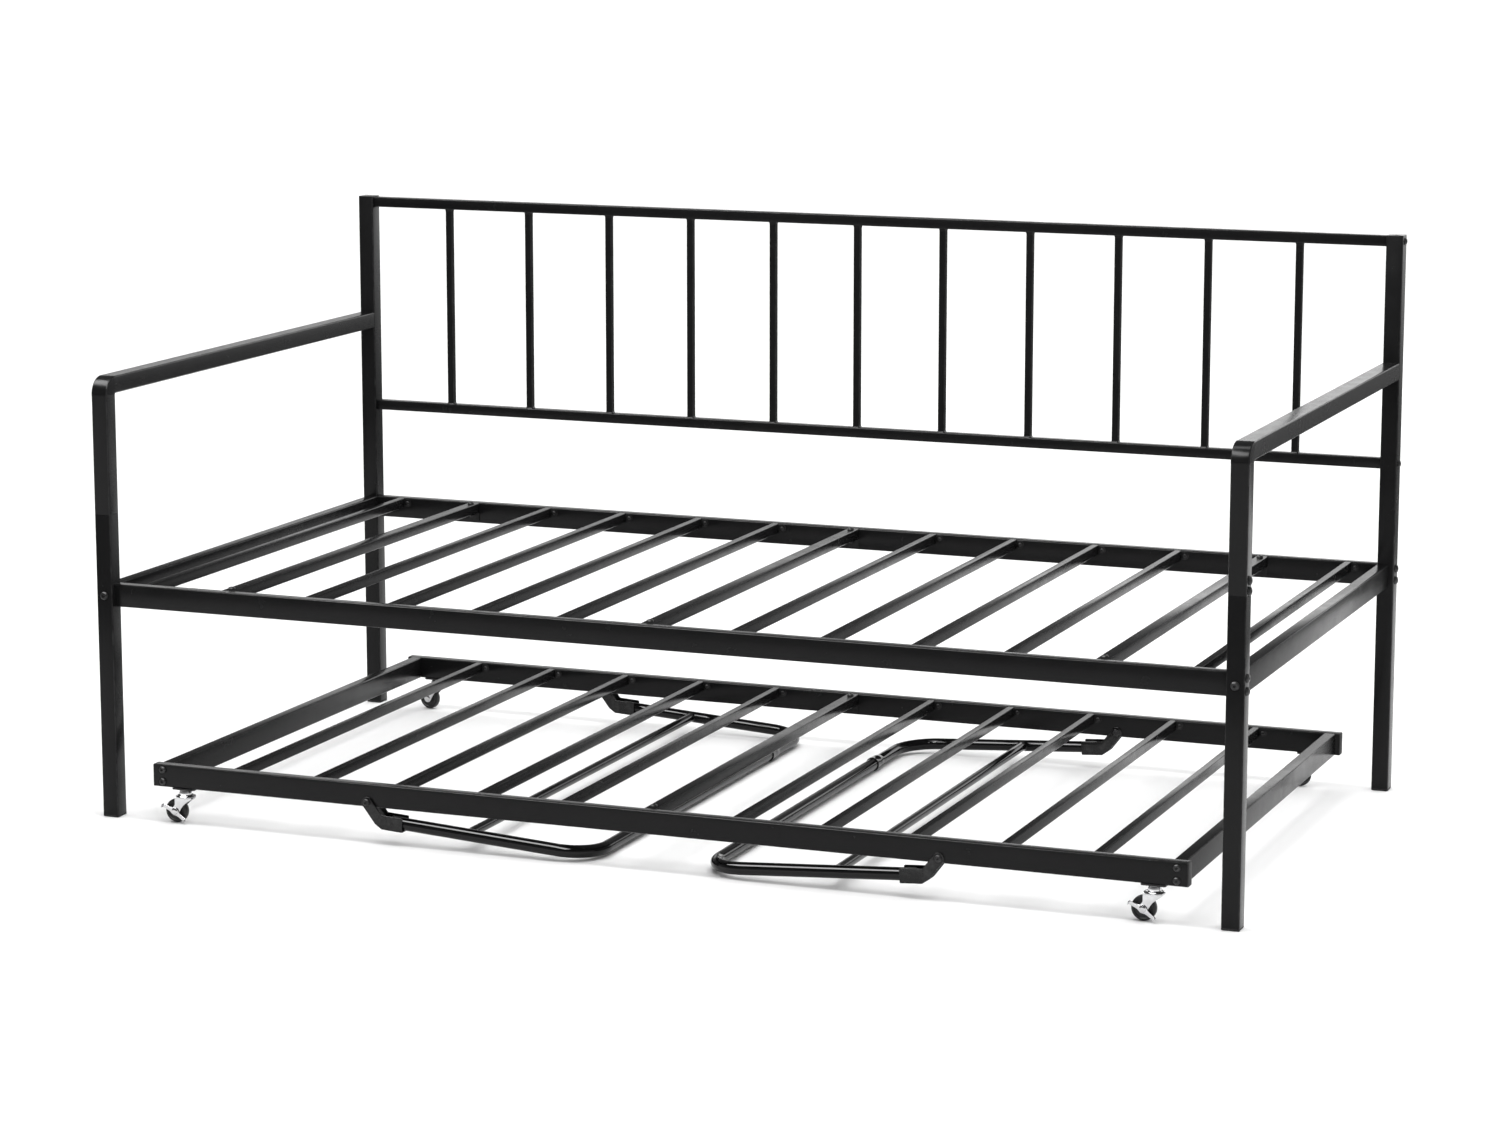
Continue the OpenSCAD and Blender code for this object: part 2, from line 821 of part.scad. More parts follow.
module left_leg_back_tube() {
    leg_back_tube(-1);
}

module left_leg_cross_tube() {
    leg_cross_tube(-1);
}

module left_leg_front_bracket() {
    leg_bracket(-1, trundle_front_y);
}

module left_leg_back_bracket() {
    leg_bracket(-1, trundle_back_y);
}

module right_leg_front_tube() {
    leg_front_tube(1);
}

module right_leg_back_tube() {
    leg_back_tube(1);
}

module right_leg_cross_tube() {
    leg_cross_tube(1);
}

module right_leg_front_bracket() {
    leg_bracket(1, trundle_front_y);
}

module right_leg_back_bracket() {
    leg_bracket(1, trundle_back_y);
}

// Casters
module caster_place(sx, sy, turn) {
    x = sx < 0 ? trundle_left + caster_inset : trundle_right - caster_inset;
    y = sy < 0 ? trundle_front_y : trundle_back_y;
    translate([x, y, 0]) rotate([0, 0, turn]) children();
}

// Plate with the upper race and the riveted king pin
module caster_plate(sx, sy) {
    crown_bottom = crown_top - crown_height;
    color(plastic_black)
    caster_place(sx, sy, 0) {
        translate([0, 0, trundle_bottom - plate_height]) linear_extrude(plate_height)
            rounded_rect(plate_length, plate_width, corner_radius);
        translate([0, 0, crown_top + running_gap])
            cylinder(r = race_radius, h = trundle_bottom - plate_height - crown_top - running_gap);
        translate([0, 0, crown_bottom - running_gap - kingpin_head_height])
            cylinder(r = kingpin_radius, h = trundle_bottom - crown_bottom);
        translate([0, 0, crown_bottom - running_gap - kingpin_head_height])
            cylinder(r = kingpin_head_radius, h = kingpin_head_height);
    }
}

// Side plate of a fork: a wide shoulder that sweeps in to the axle
module fork_side_outline() {
    boss = [caster_trail, wheel_radius];
    top = crown_top - crown_height;
    front_edge = [[-14.5, top], [-15, top - 3], [-4, top - 10.5], [4.5, top - 20]];
    rear_edge = [[16.5, top - 14], [16.5, top - 3], [14.5, top]];
    difference() {
        polygon(concat(
            front_edge,
            arc(boss, boss_radius, touch(front_edge[3], boss, boss_radius, 1),
                360 + touch(rear_edge[0], boss, boss_radius, -1), 16),
            rear_edge
        ));
        translate(boss) circle(r = axle_radius + axle_gap);
    }
}

module caster_fork(sx, sy, turn) {
    inner = wheel_width / 2 + fork_gap;
    color(bright_chrome)
    caster_place(sx, sy, turn) {
        translate([0, 0, crown_top - crown_height]) difference() {
            cylinder(r = crown_radius, h = crown_height);
            translate([0, 0, -1]) cylinder(r = kingpin_radius + axle_gap, h = crown_height + 2);
        }
        for (side = [-inner, inner + fork_plate])
            translate([0, side, 0]) rotate([90, 0, 0])
                linear_extrude(fork_plate) fork_side_outline();
    }
}

// Riveted axle; on a braked caster it also carries the lever
module caster_axle(sx, sy, turn, braked) {
    low = -(wheel_width / 2 + fork_gap + fork_plate);
    high = braked ? -low + running_gap + lever_plate + running_gap : -low;
    color(bright_chrome)
    caster_place(sx, sy, turn)
        along_y(caster_trail, low - axle_head_height, wheel_radius) {
            cylinder(r = axle_radius, h = high - low + 2 * axle_head_height);
            cylinder(r = axle_head_radius, h = axle_head_height);
            translate([0, 0, high - low + axle_head_height])
                cylinder(r = axle_head_radius, h = axle_head_height);
        }
}

module caster_wheel(sx, sy, turn) {
    rim = 1.5;
    color(plastic_black)
    caster_place(sx, sy, turn)
        along_y(caster_trail, 0, wheel_radius)
        rotate_extrude()
        polygon([
            [axle_radius + axle_gap, -wheel_width / 2],
            [wheel_radius - rim, -wheel_width / 2],
            [wheel_radius, -wheel_width / 2 + rim],
            [wheel_radius, wheel_width / 2 - rim],
            [wheel_radius - rim, wheel_width / 2],
            [axle_radius + axle_gap, wheel_width / 2]
        ]);
}

// Rocker lever on the axle, with a toe tab bent outward at each end
module brake_lever(sx, sy, turn) {
    inner = wheel_width / 2 + fork_gap + fork_plate + running_gap;
    boss = [0, 0];
    high_tip = [22, 9];
    low_tip = [-20, -15];
    half = 3.2;
    rise = [0, half];
    color(bright_chrome)
    caster_place(sx, sy, turn)
    translate([caster_trail, inner, wheel_radius]) {
        translate([0, lever_plate, 0]) rotate([90, 0, 0]) linear_extrude(lever_plate)
            difference() {
                polygon(concat(
                    [high_tip - rise, high_tip + rise],
                    arc(boss, lever_boss, touch(high_tip + rise, boss, lever_boss, 1),
                        360 + touch(low_tip + rise, boss, lever_boss, -1), 6),
                    [low_tip + rise, low_tip - rise],
                    arc(boss, lever_boss, touch(low_tip - rise, boss, lever_boss, 1),
                        touch(high_tip - rise, boss, lever_boss, -1), 2)
                ));
                circle(r = axle_radius + axle_gap);
            }
        translate([high_tip.x - lever_plate, 0, high_tip.y - half])
            cube([lever_plate, lever_tab, 2 * half]);
        translate([low_tip.x, 0, low_tip.y - half])
            cube([lever_plate, lever_tab, 2 * half]);
    }
}

module front_left_caster_plate() {
    caster_plate(-1, -1);
}

module front_right_caster_plate() {
    caster_plate(1, -1);
}

module back_left_caster_plate() {
    caster_plate(-1, 1);
}

module back_right_caster_plate() {
    caster_plate(1, 1);
}

module front_left_caster_fork() {
    caster_fork(-1, -1, front_left_turn);
}

module front_right_caster_fork() {
    caster_fork(1, -1, front_right_turn);
}

module back_left_caster_fork() {
    caster_fork(-1, 1, back_left_turn);
}

module back_right_caster_fork() {
    caster_fork(1, 1, back_right_turn);
}

module front_left_caster_axle() {
    caster_axle(-1, -1, front_left_turn, true);
}

module front_right_caster_axle() {
    caster_axle(1, -1, front_right_turn, true);
}

module back_left_caster_axle() {
    caster_axle(-1, 1, back_left_turn, false);
}

module back_right_caster_axle() {
    caster_axle(1, 1, back_right_turn, false);
}

module front_left_wheel() {
    caster_wheel(-1, -1, front_left_turn);
}

module front_right_wheel() {
    caster_wheel(1, -1, front_right_turn);
}

module back_left_wheel() {
    caster_wheel(-1, 1, back_left_turn);
}

module back_right_wheel() {
    caster_wheel(1, 1, back_right_turn);
}

module front_left_brake_lever() {
    brake_lever(-1, -1, front_left_turn);
}

module front_right_brake_lever() {
    brake_lever(1, -1, front_right_turn);
}

front_left_leg();
front_right_leg();
left_arm();
right_arm();
arm_sleeves();
back_left_post();
back_right_post();
foot_caps();
front_rail();
back_rail();
left_end_rail();
right_end_rail();
deck_slats();
deck_support_slats();
deck_slat_brackets();
deck_slat_screws();
back_top_rail();
back_lower_rail();
back_spindles();
frame_bolts();
back_bolts();
trundle_front_rail();
trundle_back_rail();
trundle_left_rail();
trundle_right_rail();
trundle_end_plugs();
trundle_slats();
trundle_centre_slat();
trundle_slat_brackets();
trundle_slat_screws();
trundle_bolts();
leg_pivot_bolts();
left_leg_front_tube();
left_leg_back_tube();
left_leg_cross_tube();
left_leg_front_bracket();
left_leg_back_bracket();
right_leg_front_tube();
right_leg_back_tube();
right_leg_cross_tube();
right_leg_front_bracket();
right_leg_back_bracket();
front_left_caster_plate();
front_right_caster_plate();
back_left_caster_plate();
back_right_caster_plate();
front_left_caster_fork();
front_right_caster_fork();
back_left_caster_fork();
back_right_caster_fork();
front_left_caster_axle();
front_right_caster_axle();
back_left_caster_axle();
back_right_caster_axle();
front_left_wheel();
front_right_wheel();
back_left_wheel();
back_right_wheel();
front_left_brake_lever();
front_right_brake_lever();
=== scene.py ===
import json
import math
import random

import bpy
from mathutils import Matrix, Vector


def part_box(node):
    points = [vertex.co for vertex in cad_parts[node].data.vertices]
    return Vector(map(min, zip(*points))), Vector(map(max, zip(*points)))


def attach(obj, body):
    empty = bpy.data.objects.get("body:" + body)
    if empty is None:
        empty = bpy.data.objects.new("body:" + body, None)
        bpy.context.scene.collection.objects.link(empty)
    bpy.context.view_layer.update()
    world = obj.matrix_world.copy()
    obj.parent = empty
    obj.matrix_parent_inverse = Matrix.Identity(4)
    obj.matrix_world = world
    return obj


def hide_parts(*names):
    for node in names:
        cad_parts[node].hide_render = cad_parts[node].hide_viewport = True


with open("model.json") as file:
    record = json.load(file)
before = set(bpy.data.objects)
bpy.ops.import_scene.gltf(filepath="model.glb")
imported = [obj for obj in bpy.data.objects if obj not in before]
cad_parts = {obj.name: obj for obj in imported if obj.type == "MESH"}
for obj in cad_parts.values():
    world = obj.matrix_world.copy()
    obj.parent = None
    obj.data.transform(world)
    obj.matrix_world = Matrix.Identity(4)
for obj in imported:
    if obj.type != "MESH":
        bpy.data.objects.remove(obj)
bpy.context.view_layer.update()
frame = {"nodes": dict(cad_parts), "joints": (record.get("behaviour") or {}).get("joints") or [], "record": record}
scene = bpy.context.scene
SEED = 11
random.seed(SEED)

MM = 0.001
X, Y, Z = Vector((1, 0, 0)), Vector((0, 1, 0)), Vector((0, 0, 1))
SMOOTH_ANGLE = math.radians(32)

# ---------------------------------------------------------------- camera
camera_data = bpy.data.cameras.new("camera")
camera_data.sensor_width = 36.0
camera_data.lens = 98.99
camera_data.clip_end = 200.0
CAMERA_DOWN, CAMERA_TURN = 10.35, 21.76
camera = bpy.data.objects.new("camera", camera_data)
camera.location = (2.5218, -6.3469, 1.6610)
camera.rotation_euler = (math.radians(90 - CAMERA_DOWN), 0, math.radians(CAMERA_TURN))
scene.collection.objects.link(camera)
scene.camera = camera
scene.view_settings.view_transform = "Standard"


# ---------------------------------------------------------------- materials
class Nodes:
    """Short helper around one material's node tree."""

    def __init__(self, name):
        self.material = bpy.data.materials.new(name)
        self.material.use_nodes = True
        self.tree = self.material.node_tree
        self.shader = self.tree.nodes["Principled BSDF"]
        coords = self.tree.nodes.new("ShaderNodeTexCoord")
        self.place = coords.outputs["Object"]

    def add(self, kind, links=(), **settings):
        node = self.tree.nodes.new(kind)
        for key, value in settings.items():
            setattr(node, key, value)
        for socket, value in dict(links).items():
            if isinstance(value, bpy.types.NodeSocket):
                self.tree.links.new(value, node.inputs[socket])
            else:
                node.inputs[socket].default_value = value
        return node

    def noise(self, scale, detail=2.0, rough=0.5, stretch=None):
        source = self.place
        if stretch:
            mapping = self.add("ShaderNodeMapping", {"Vector": source, "Scale": stretch})
            source = mapping.outputs["Vector"]
        found = self.add("ShaderNodeTexNoise",
                         {"Vector": source, "Scale": scale, "Detail": detail, "Roughness": rough})
        return found.outputs["Fac"]

    def spread(self, source, low, high, start=0.3, stop=0.7):
        found = self.add("ShaderNodeMapRange", {"Value": source, "From Min": start, "From Max": stop,
                                                "To Min": low, "To Max": high})
        return found.outputs["Result"]

    def mix(self, factor, a, b):
        """Colour between a and b by factor; 0, 6 and 7 are the colour mix's own sockets."""
        return self.add("ShaderNodeMix", {0: factor, 6: a, 7: b}, data_type="RGBA").outputs[2]

    def maths(self, operation, a, b):
        return self.add("ShaderNodeMath", {0: a, 1: b}, operation=operation).outputs[0]

    # reads the edge mask, which the paint turns into a painted highlight along the corners mixed with rubbed wear
    def edge_wear_and_sheen(self):
        return self.add("ShaderNodeAttribute", attribute_name="edge_wear_and_sheen").outputs["Fac"]

    def bump(self, height, strength, distance, normal=None):
        links = {"Height": height, "Strength": strength, "Distance": distance}
        if normal is not None:
            links["Normal"] = normal
        return self.add("ShaderNodeBump", links).outputs["Normal"]

    def link(self, socket, source):
        self.tree.links.new(source, self.shader.inputs[socket])


def colour(value, tint=(1, 1, 1)):
    return (value * tint[0], value * tint[1], value * tint[2], 1)


def painted(name, dark, light, rough, spread, specular, grain=1400, grain_depth=0.00004,
            ripple=70, ripple_depth=0.00006, edge_sheen_tone=0.03, metallic=0.0):
    """Paint, powder coat or moulded plastic: mottled colour, orange peel, fine grain, and edges lightened by a
    painted highlight mixed with rubbed wear.

    dark and light are the ends of the mottle; rough and spread are the middle and half width of the
    roughness; grain and ripple are the two noise scales, with their depths in metres; the edge tone
    is the lighter colour of the edges, a painted highlight along the rounded corners mixed with rubbed wear.
    """
    n = Nodes(name)
    cloud = n.spread(n.noise(9, 4, 0.6), 0, 1)
    speck = n.spread(n.noise(grain * 0.6, 2, 0.7), 0, 1, 0.42, 0.66)
    mottle = n.maths("ADD", n.maths("MULTIPLY", cloud, 0.65), n.maths("MULTIPLY", speck, 0.35))
    base = n.mix(mottle, colour(dark, (1, 1, 1.05)), colour(light, (1, 1, 1.03)))
    # edge mask times rubbing noise: a painted highlight along the rounded corners, broken up like rubbed wear
    rubbed_sheen = n.maths("MULTIPLY", n.edge_wear_and_sheen(), n.spread(n.noise(45, 5, 0.7), 0.0, 1.0, 0.38, 0.72))
    n.link("Base Color", n.mix(rubbed_sheen, base, colour(edge_sheen_tone)))
    n.link("Roughness", n.spread(n.noise(26, 4, 0.65), rough - spread, rough + spread))
    peel = n.bump(n.noise(ripple, 2, 0.4), 0.5, ripple_depth)
    n.link("Normal", n.bump(n.noise(grain, 3, 0.6), 0.6, grain_depth, peel))
    n.shader.inputs["Specular IOR Level"].default_value = specular
    n.shader.inputs["Metallic"].default_value = metallic
    return n.material


def plated(name, tone, rough):
    """Bright plated steel with faint polishing marks and dull spots."""
    n = Nodes(name)
    cloud = n.spread(n.noise(160, 4, 0.6), 0, 1)
    n.link("Base Color", n.mix(cloud, colour(tone * 0.86, (1, 1, 1.01)), colour(tone, (1, 1, 1.02))))
    n.link("Roughness", n.spread(n.noise(240, 5, 0.65), rough * 0.7, rough * 1.5))
    marks = n.noise(500, 2, 0.5, stretch=(1, 1, 7))
    n.link("Normal", n.bump(marks, 0.35, 0.00002))
    n.shader.inputs["Metallic"].default_value = 1.0
    return n.material


FINISH = {
    "frame_paint": painted("powder_coat", 0.0065, 0.0092, 0.24, 0.04, 0.13, grain=1700,
                           grain_depth=0.00002, ripple_depth=0.000008, edge_sheen_tone=0.035),
    "leg_paint": painted("gloss_paint", 0.0035, 0.0055, 0.08, 0.02, 0.25, grain=900,
                         grain_depth=0.000004, ripple=40, ripple_depth=0.00001),
    "bolt_black": painted("black_zinc", 0.008, 0.014, 0.34, 0.07, 0.45, grain=2600,
                          grain_depth=0.00002, edge_sheen_tone=0.09, metallic=0.35),
    "plate_black": painted("black_plate", 0.004, 0.007, 0.42, 0.08, 0.3, edge_sheen_tone=0.05),
    "black_plastic": painted("moulded_plastic", 0.005, 0.009, 0.52, 0.07, 0.3, grain=2200,
                             grain_depth=0.00005, ripple=240, edge_sheen_tone=0.02),
    "wheel_plastic": painted("wheel_plastic", 0.006, 0.011, 0.40, 0.10, 0.35, grain=1900,
                             grain_depth=0.00004, ripple=200, edge_sheen_tone=0.025),
    "chrome": plated("bright_chrome", 0.6, 0.09),
}


# ---------------------------------------------------------------- mesh building
class Shape:
    """Collects closed skins and turns them into one object. Coordinates are metres."""

    def __init__(self, matrix=None):
        self.matrix = matrix or Matrix.Identity(4)
        self.flip = self.matrix.determinant() < 0
        # per-point edge mask: where paint gets a painted highlight along the corners mixed with rubbed wear
        self.verts, self.faces, self.edge_wear_and_sheen = [], [], []

    def ring(self, points, edge_wear_and_sheen):
        start = len(self.verts)
        self.verts += [self.matrix @ Vector(p) for p in points]
        self.edge_wear_and_sheen += list(edge_wear_and_sheen)
        return list(range(start, len(self.verts)))

    def face(self, corners):
        self.faces.append(list(reversed(corners)) if self.flip else list(corners))

    def skin(self, rings):
        """Joins rings of corners in order and closes both ends."""
        for a, b in zip(rings, rings[1:]):
            count = len(a)
            for i in range(count):
                j = (i + 1) % count
                self.face((a[i], a[j], b[j], b[i]))
        self.face(list(reversed(rings[0])))
        self.face(rings[-1])

    def sweep(self, stations, outline):
        """stations: (origin, A, B, inset), A x B along the path; outline(inset) gives (a, b, edge mask), the mask
        marking where paint gets a painted highlight mixed with rubbed wear.
        """
        rings = []
        for origin, a, b, inset in stations:
            points = outline(inset)
            rings.append(self.ring([origin + a * p + b * q for p, q, _ in points],
                                   [w for _, _, w in points]))
        self.skin(rings)

    def spin(self, origin, axis, stations, count=32, turn=0.0):
        """stations: (height, radius or a function of the angle, edge mask for a painted highlight mixed with
        rubbed wear) along axis.
        """
        a, b = across(axis)
        rings = []
        for height, radius, edge_wear_and_sheen in stations:
            points = []
            for i in range(count):
                t = turn + math.tau * i / count
                r = radius(t - turn) if callable(radius) else radius
                points.append(origin + axis * height + (a * math.cos(t) + b * math.sin(t)) * r)
            rings.append(self.ring(points, [edge_wear_and_sheen] * count))
        self.skin(rings)

    def plate(self, origin, a, b, outline, thickness, rounding=0.0004, steps=2):
        """A flat plate: outline in (a, b), counter-clockwise, rising along a x b, with rounded edges."""
        normal = a.cross(b)
        lower = []
        for i in range(steps + 1):
            t = math.radians(90 * i / steps)
            # edge mask 1 where the faces turn into the rim and 0.5 on the side: a painted highlight mixed with
            # rubbed wear
            edge_wear_and_sheen = 1 - i / steps * 0.5
            lower.append((rounding * (1 - math.sin(t)), rounding * (1 - math.cos(t)), edge_wear_and_sheen))
        upper = [(inset, thickness - up, edge_wear_and_sheen) for inset, up, edge_wear_and_sheen in reversed(lower)]
        made = []
        for inset, up, edge_wear_and_sheen in lower + upper:
            points = shrink(outline, inset)
            made.append(self.ring([origin + a * p + b * q + normal * up for p, q in points],
                                  [edge_wear_and_sheen] * len(points)))
        self.skin(made)

    def object(self, name, slot, body, nodes=()):
        mesh = bpy.data.meshes.new(name)
        mesh.from_pydata([tuple(v) for v in self.verts], [], self.faces)
        mesh.validate()
        # the edge mask goes on the mesh as a point attribute, and paint lightens it as a painted highlight mixed
        # with rubbed wear
        edge_wear_and_sheen = mesh.attributes.new("edge_wear_and_sheen", "FLOAT", "POINT")
        edge_wear_and_sheen.data.foreach_set("value", self.edge_wear_and_sheen)
        mesh.shade_smooth()
        mesh.set_sharp_from_angle(angle=SMOOTH_ANGLE)
        mesh.materials.append(FINISH[slot])
        piece = bpy.data.objects.new(name, mesh)
        scene.collection.objects.link(piece)
        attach(piece, body)
        if nodes:
            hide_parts(*nodes)


def across(axis):
    """Two unit vectors a and b with a x b = axis."""
    side = Z if abs(axis.z) < 0.9 else X
    a = side.cross(axis).normalized()
    return a, axis.cross(a).normalized()


def shrink(outline, inset):
    """A closed outline moved inward by inset at every corner."""
    if inset == 0:
        return list(outline)
    count, moved = len(outline), []
    for i in range(count):
        p = Vector(outline[i])
        before = (p - Vector(outline[i - 1])).normalized()
        after = (Vector(outline[(i + 1) % count]) - p).normalized()
        na, nb = Vector((-before.y, before.x)), Vector((-after.y, after.x))
        middle = na + nb
        size = max(middle.length_squared / 2, 0.5)
        moved.append(tuple(p + middle * (inset / size)))
    return moved


def rounded(w, h, r, steps=4):
    """Outline function of a rounded rectangle w by h, with an edge mask peaking in the middle of each corner for a
    painted highlight mixed with rubbed wear.
    """

    def outline(inset):
        w2, h2, r2 = w / 2 - inset, h / 2 - inset, max(r - inset, 0.0001)
        points = []
        for q, (sx, sy) in enumerate(((1, 1), (-1, 1), (-1, -1), (1, -1))):
            for i in range(steps + 1):
                t = math.radians(90 * (q + i / steps))
                points.append((sx * (w2 - r2) + r2 * math.cos(t), sy * (h2 - r2) + r2 * math.sin(t),
                               1 - abs(2 * i / steps - 1)))
        return points

    return outline


AXES = {"x": (X, Y, Z), "y": (Y, Z, X), "z": (Z, X, Y)}


def bar(shape, low, high, axis, r, end, flare):
    """A rounded tube that fills the box from low to high, along axis.

    end softens its ends; flare swells them instead, as a weld does.
    """
    along, a, b = AXES[axis]
    middle = (low + high) / 2
    size = high - low
    length = size.dot(along)
    start = middle - along * (length / 2)
    outline = rounded(size.dot(a), size.dot(b), r)
    if flare:
        ends = [(0, -flare), (0.0012, -flare * 0.45), (0.0028, -flare * 0.12), (0.005, 0)]
    else:
        ends = [(0, end), (end * 0.3, end * 0.3), (end, 0)]
    stations = [(start + along * up, a, b, inset) for up, inset in ends]
    stations += [(start + along * (length - up), a, b, inset) for up, inset in reversed(ends)]
    shape.sweep(stations, outline)


def islands(node):
    """Boxes of the separate solids in a CAD node, as (low, high), in order along x, y, z."""
    mesh = frame["nodes"][node].data
    spots, parent, index = {}, [], []
    for v in mesh.vertices:
        key = tuple(round(c, 5) for c in v.co)
        if key not in spots:
            spots[key] = len(parent)
            parent.append(spots[key])
        index.append(spots[key])

    def root(i):
        while parent[i] != i:
            parent[i] = parent[parent[i]]
            i = parent[i]
        return i

    for polygon in mesh.polygons:
        first = root(index[polygon.vertices[0]])
        for v in polygon.vertices[1:]:
            other = root(index[v])
            if other != first:
                parent[other] = first
    boxes = {}
    for v, i in zip(mesh.vertices, index):
        low, high = boxes.setdefault(root(i), (v.co.copy(), v.co.copy()))
        for c in range(3):
            low[c] = min(low[c], v.co[c])
            high[c] = max(high[c], v.co[c])
    found = list(boxes.values())
    slack = 0.2 * MM

    def inside(b, o):
        """True for the inner skin of a hollow solid, whose outer skin has box o."""
        return (o is not b
                and all(o[0][c] - slack <= b[0][c] and b[1][c] <= o[1][c] + slack for c in range(3))
                and (o[1] - o[0]).length > (b[1] - b[0]).length + slack)

    outer = [b for b in found if not any(inside(b, o) for o in found)]
    return sorted(outer, key=lambda b: tuple(round(c, 4) for c in b[0]))


def bars(node, axis, r, body="daybed", end=0.0005, flare=0.0):
    """One rounded tube for each solid of a CAD node."""
    shape = Shape()
    for low, high in islands(node):
        bar(shape, low, high, axis, r, end, flare)
    shape.object(node + "_skin", "frame_paint", body, [node])


# ---------------------------------------------------------------- daybed tubes
TUBE_ROUND = 2.5 * MM
BACK_RAIL_ROUND = 2 * MM
SLAT_ROUND = 1.6 * MM
POST_END, RAIL_END = 0.8 * MM, 0.4 * MM
WELD_FLARE = 1.3 * MM
for name, axis in (("front_left_leg", "z"), ("front_right_leg", "z"), ("back_left_post", "z"),
                   ("back_right_post", "z"), ("front_rail", "x"), ("back_rail", "x"),
                   ("left_end_rail", "y"), ("right_end_rail", "y")):
    bars(name, axis, TUBE_ROUND, end=POST_END if "post" in name else RAIL_END)
bars("back_top_rail", "x", BACK_RAIL_ROUND)
bars("back_lower_rail", "x", BACK_RAIL_ROUND)
bars("back_spindles", "z", SLAT_ROUND, flare=WELD_FLARE)
bars("deck_slats", "y", SLAT_ROUND)
bars("deck_support_slats", "y", SLAT_ROUND)


ARM_BEND = 15.5 * MM
ARM_BEND_STEPS = 14
# the tube swells by this much in its bend
ARM_SWELL = 0.22 * MM


def arm(side):
    """Square tube up from the front leg, round one bend and back to the post."""
    node = side + "_arm"
    low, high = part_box(node)
    size = high.x - low.x
    centre_x, front, top = (low.x + high.x) / 2, low.y + size / 2, high.z - size / 2
    bend = ARM_BEND
    stations = []

    def station(y, z, angle, inset):
        along = Y * math.sin(angle) + Z * math.cos(angle)
        stations.append((Vector((centre_x, y, z)), X, along.cross(X), inset))

    for up, inset in ((0, 0.0006), (0.0002, 0.0002), (0.0007, 0)):
        station(front, low.z + up, 0, inset)
    station(front, top - bend - 0.001, 0, 0)
    for i in range(ARM_BEND_STEPS + 1):
        angle = math.radians(90 * i / ARM_BEND_STEPS)
        station(front + bend - bend * math.cos(angle), top - bend + bend * math.sin(angle), angle,
                -ARM_SWELL)
    station(front + bend + 0.001, top, math.pi / 2, 0)
    for up, inset in ((0.0005, 0), (0.00015, 0.00015), (0, 0.0005)):
        station(high.y - up, top, math.pi / 2, inset)
    shape = Shape()
    shape.sweep(stations, rounded(size, size, TUBE_ROUND, 5))
    shape.object(node + "_skin", "frame_paint", "daybed", [node])


arm("left")
arm("right")


# ---------------------------------------------------------------- fasteners
def hexagon(apothem):
    """Radius of a hexagon by the angle."""

    def radius(t):
        step = math.tau / 6
        return apothem / math.cos((t % step) - step / 2)

    return radius


def button(shape, seat, out, radius, height, shank=0.0, shank_radius=0.0):
    """Button head with a hex socket: seat is the centre of its underside, out points off the part."""
    stations = []
    if shank:
        stations += [(-shank, shank_radius * 0.85, 0), (-shank + 0.0006, shank_radius, 0),
                     (0, shank_radius, 0)]
    rim, dome_steps, dome_angle = height * 0.16, 6, 90 * 0.84
    # third numbers are the edge mask: highest on the head's rim for a painted highlight mixed with rubbed wear,
    # none down the socket
    stations += [(0, radius * 0.97, 0.4), (rim * 0.4, radius, 0.8), (rim, radius * 0.995, 0.8)]
    for i in range(1, dome_steps + 1):
        t = math.radians(dome_angle * i / dome_steps)
        stations.append((rim + (height - rim) * math.sin(t) / math.sin(math.radians(dome_angle)),
                         radius * (0.42 + 0.575 * math.cos(t)), 0.5))
    socket = radius * 0.36
    wall = hexagon(socket)
    stations += [(height - 0.00005, lambda t: wall(t) * 1.05, 0.8), (height - 0.0004, wall, 0.2),
                 (height * 0.35, wall, 0), (height * 0.25, socket * 0.5, 0)]
    shape.spin(seat, out, stations, 36, random.uniform(0, 1))


def nut(shape, seat, out, radius, height):
    """Hexagon nut with chamfered corners and a shallow bore; radius is to its corners."""
    flat = radius * 0.866
    chamfer = height * 0.14
    corner = hexagon(flat)
    # third numbers are the edge mask, highest on the chamfered corners, for a painted highlight mixed with rubbed
    # wear
    stations = [(0, flat, 0.5), (chamfer, corner, 0.8), (height - chamfer, corner, 0.8),
                (height, flat, 0.5), (height, flat * 0.68, 0.2), (height * 0.6, flat * 0.66, 0)]
    shape.spin(seat, out, stations, 36, random.uniform(0, 1))


# shank radius in mm by the head radius in whole mm
SHANKS = {7: 3.9, 6: 3.0}
SMALL_SHANK = 1.8
LARGE_HEAD = 6.5 * MM


def bolt_set(node, body):
    """Every solid of a bolt node is drawn again with a domed head at its outer end."""
    shape = Shape()
    boxes = islands(node)
    centre = sum(((low + high) / 2 for low, high in boxes), Vector()) / len(boxes)
    for low, high in boxes:
        size = high - low
        long = max(range(3), key=lambda c: size[c])
        middle = (low + high) / 2
        others = [size[c] for c in range(3) if c != long]
        radius = max(others) / 2
        out = [X, Y, Z][long] * (1 if middle[long] > centre[long] else -1)
        end = middle + out * (size[long] / 2)
        shank_radius = SHANKS.get(round(radius / MM), SMALL_SHANK) * MM
        head = (4.0 if radius > LARGE_HEAD else 3.5) * MM
        button(shape, end - out * head, out, radius, head, size[long] - head, shank_radius)
    shape.object(node + "_skin", "bolt_black", body, [node])


bolt_set("frame_bolts", "daybed")
bolt_set("back_bolts", "daybed")
bolt_set("trundle_bolts", "trundle")


# ---------------------------------------------------------------- slat brackets, screws and nuts
def counter_clockwise(outline):
    area = sum(outline[i - 1][0] * p[1] - p[0] * outline[i - 1][1] for i, p in enumerate(outline))
    return outline if area > 0 else list(reversed(outline))


# solids of the bracket and screw nodes are told apart by their size
TAB_DEPTH = 5 * MM
SCREW_HEIGHT, NUT_HEIGHT = 9 * MM, 20 * MM


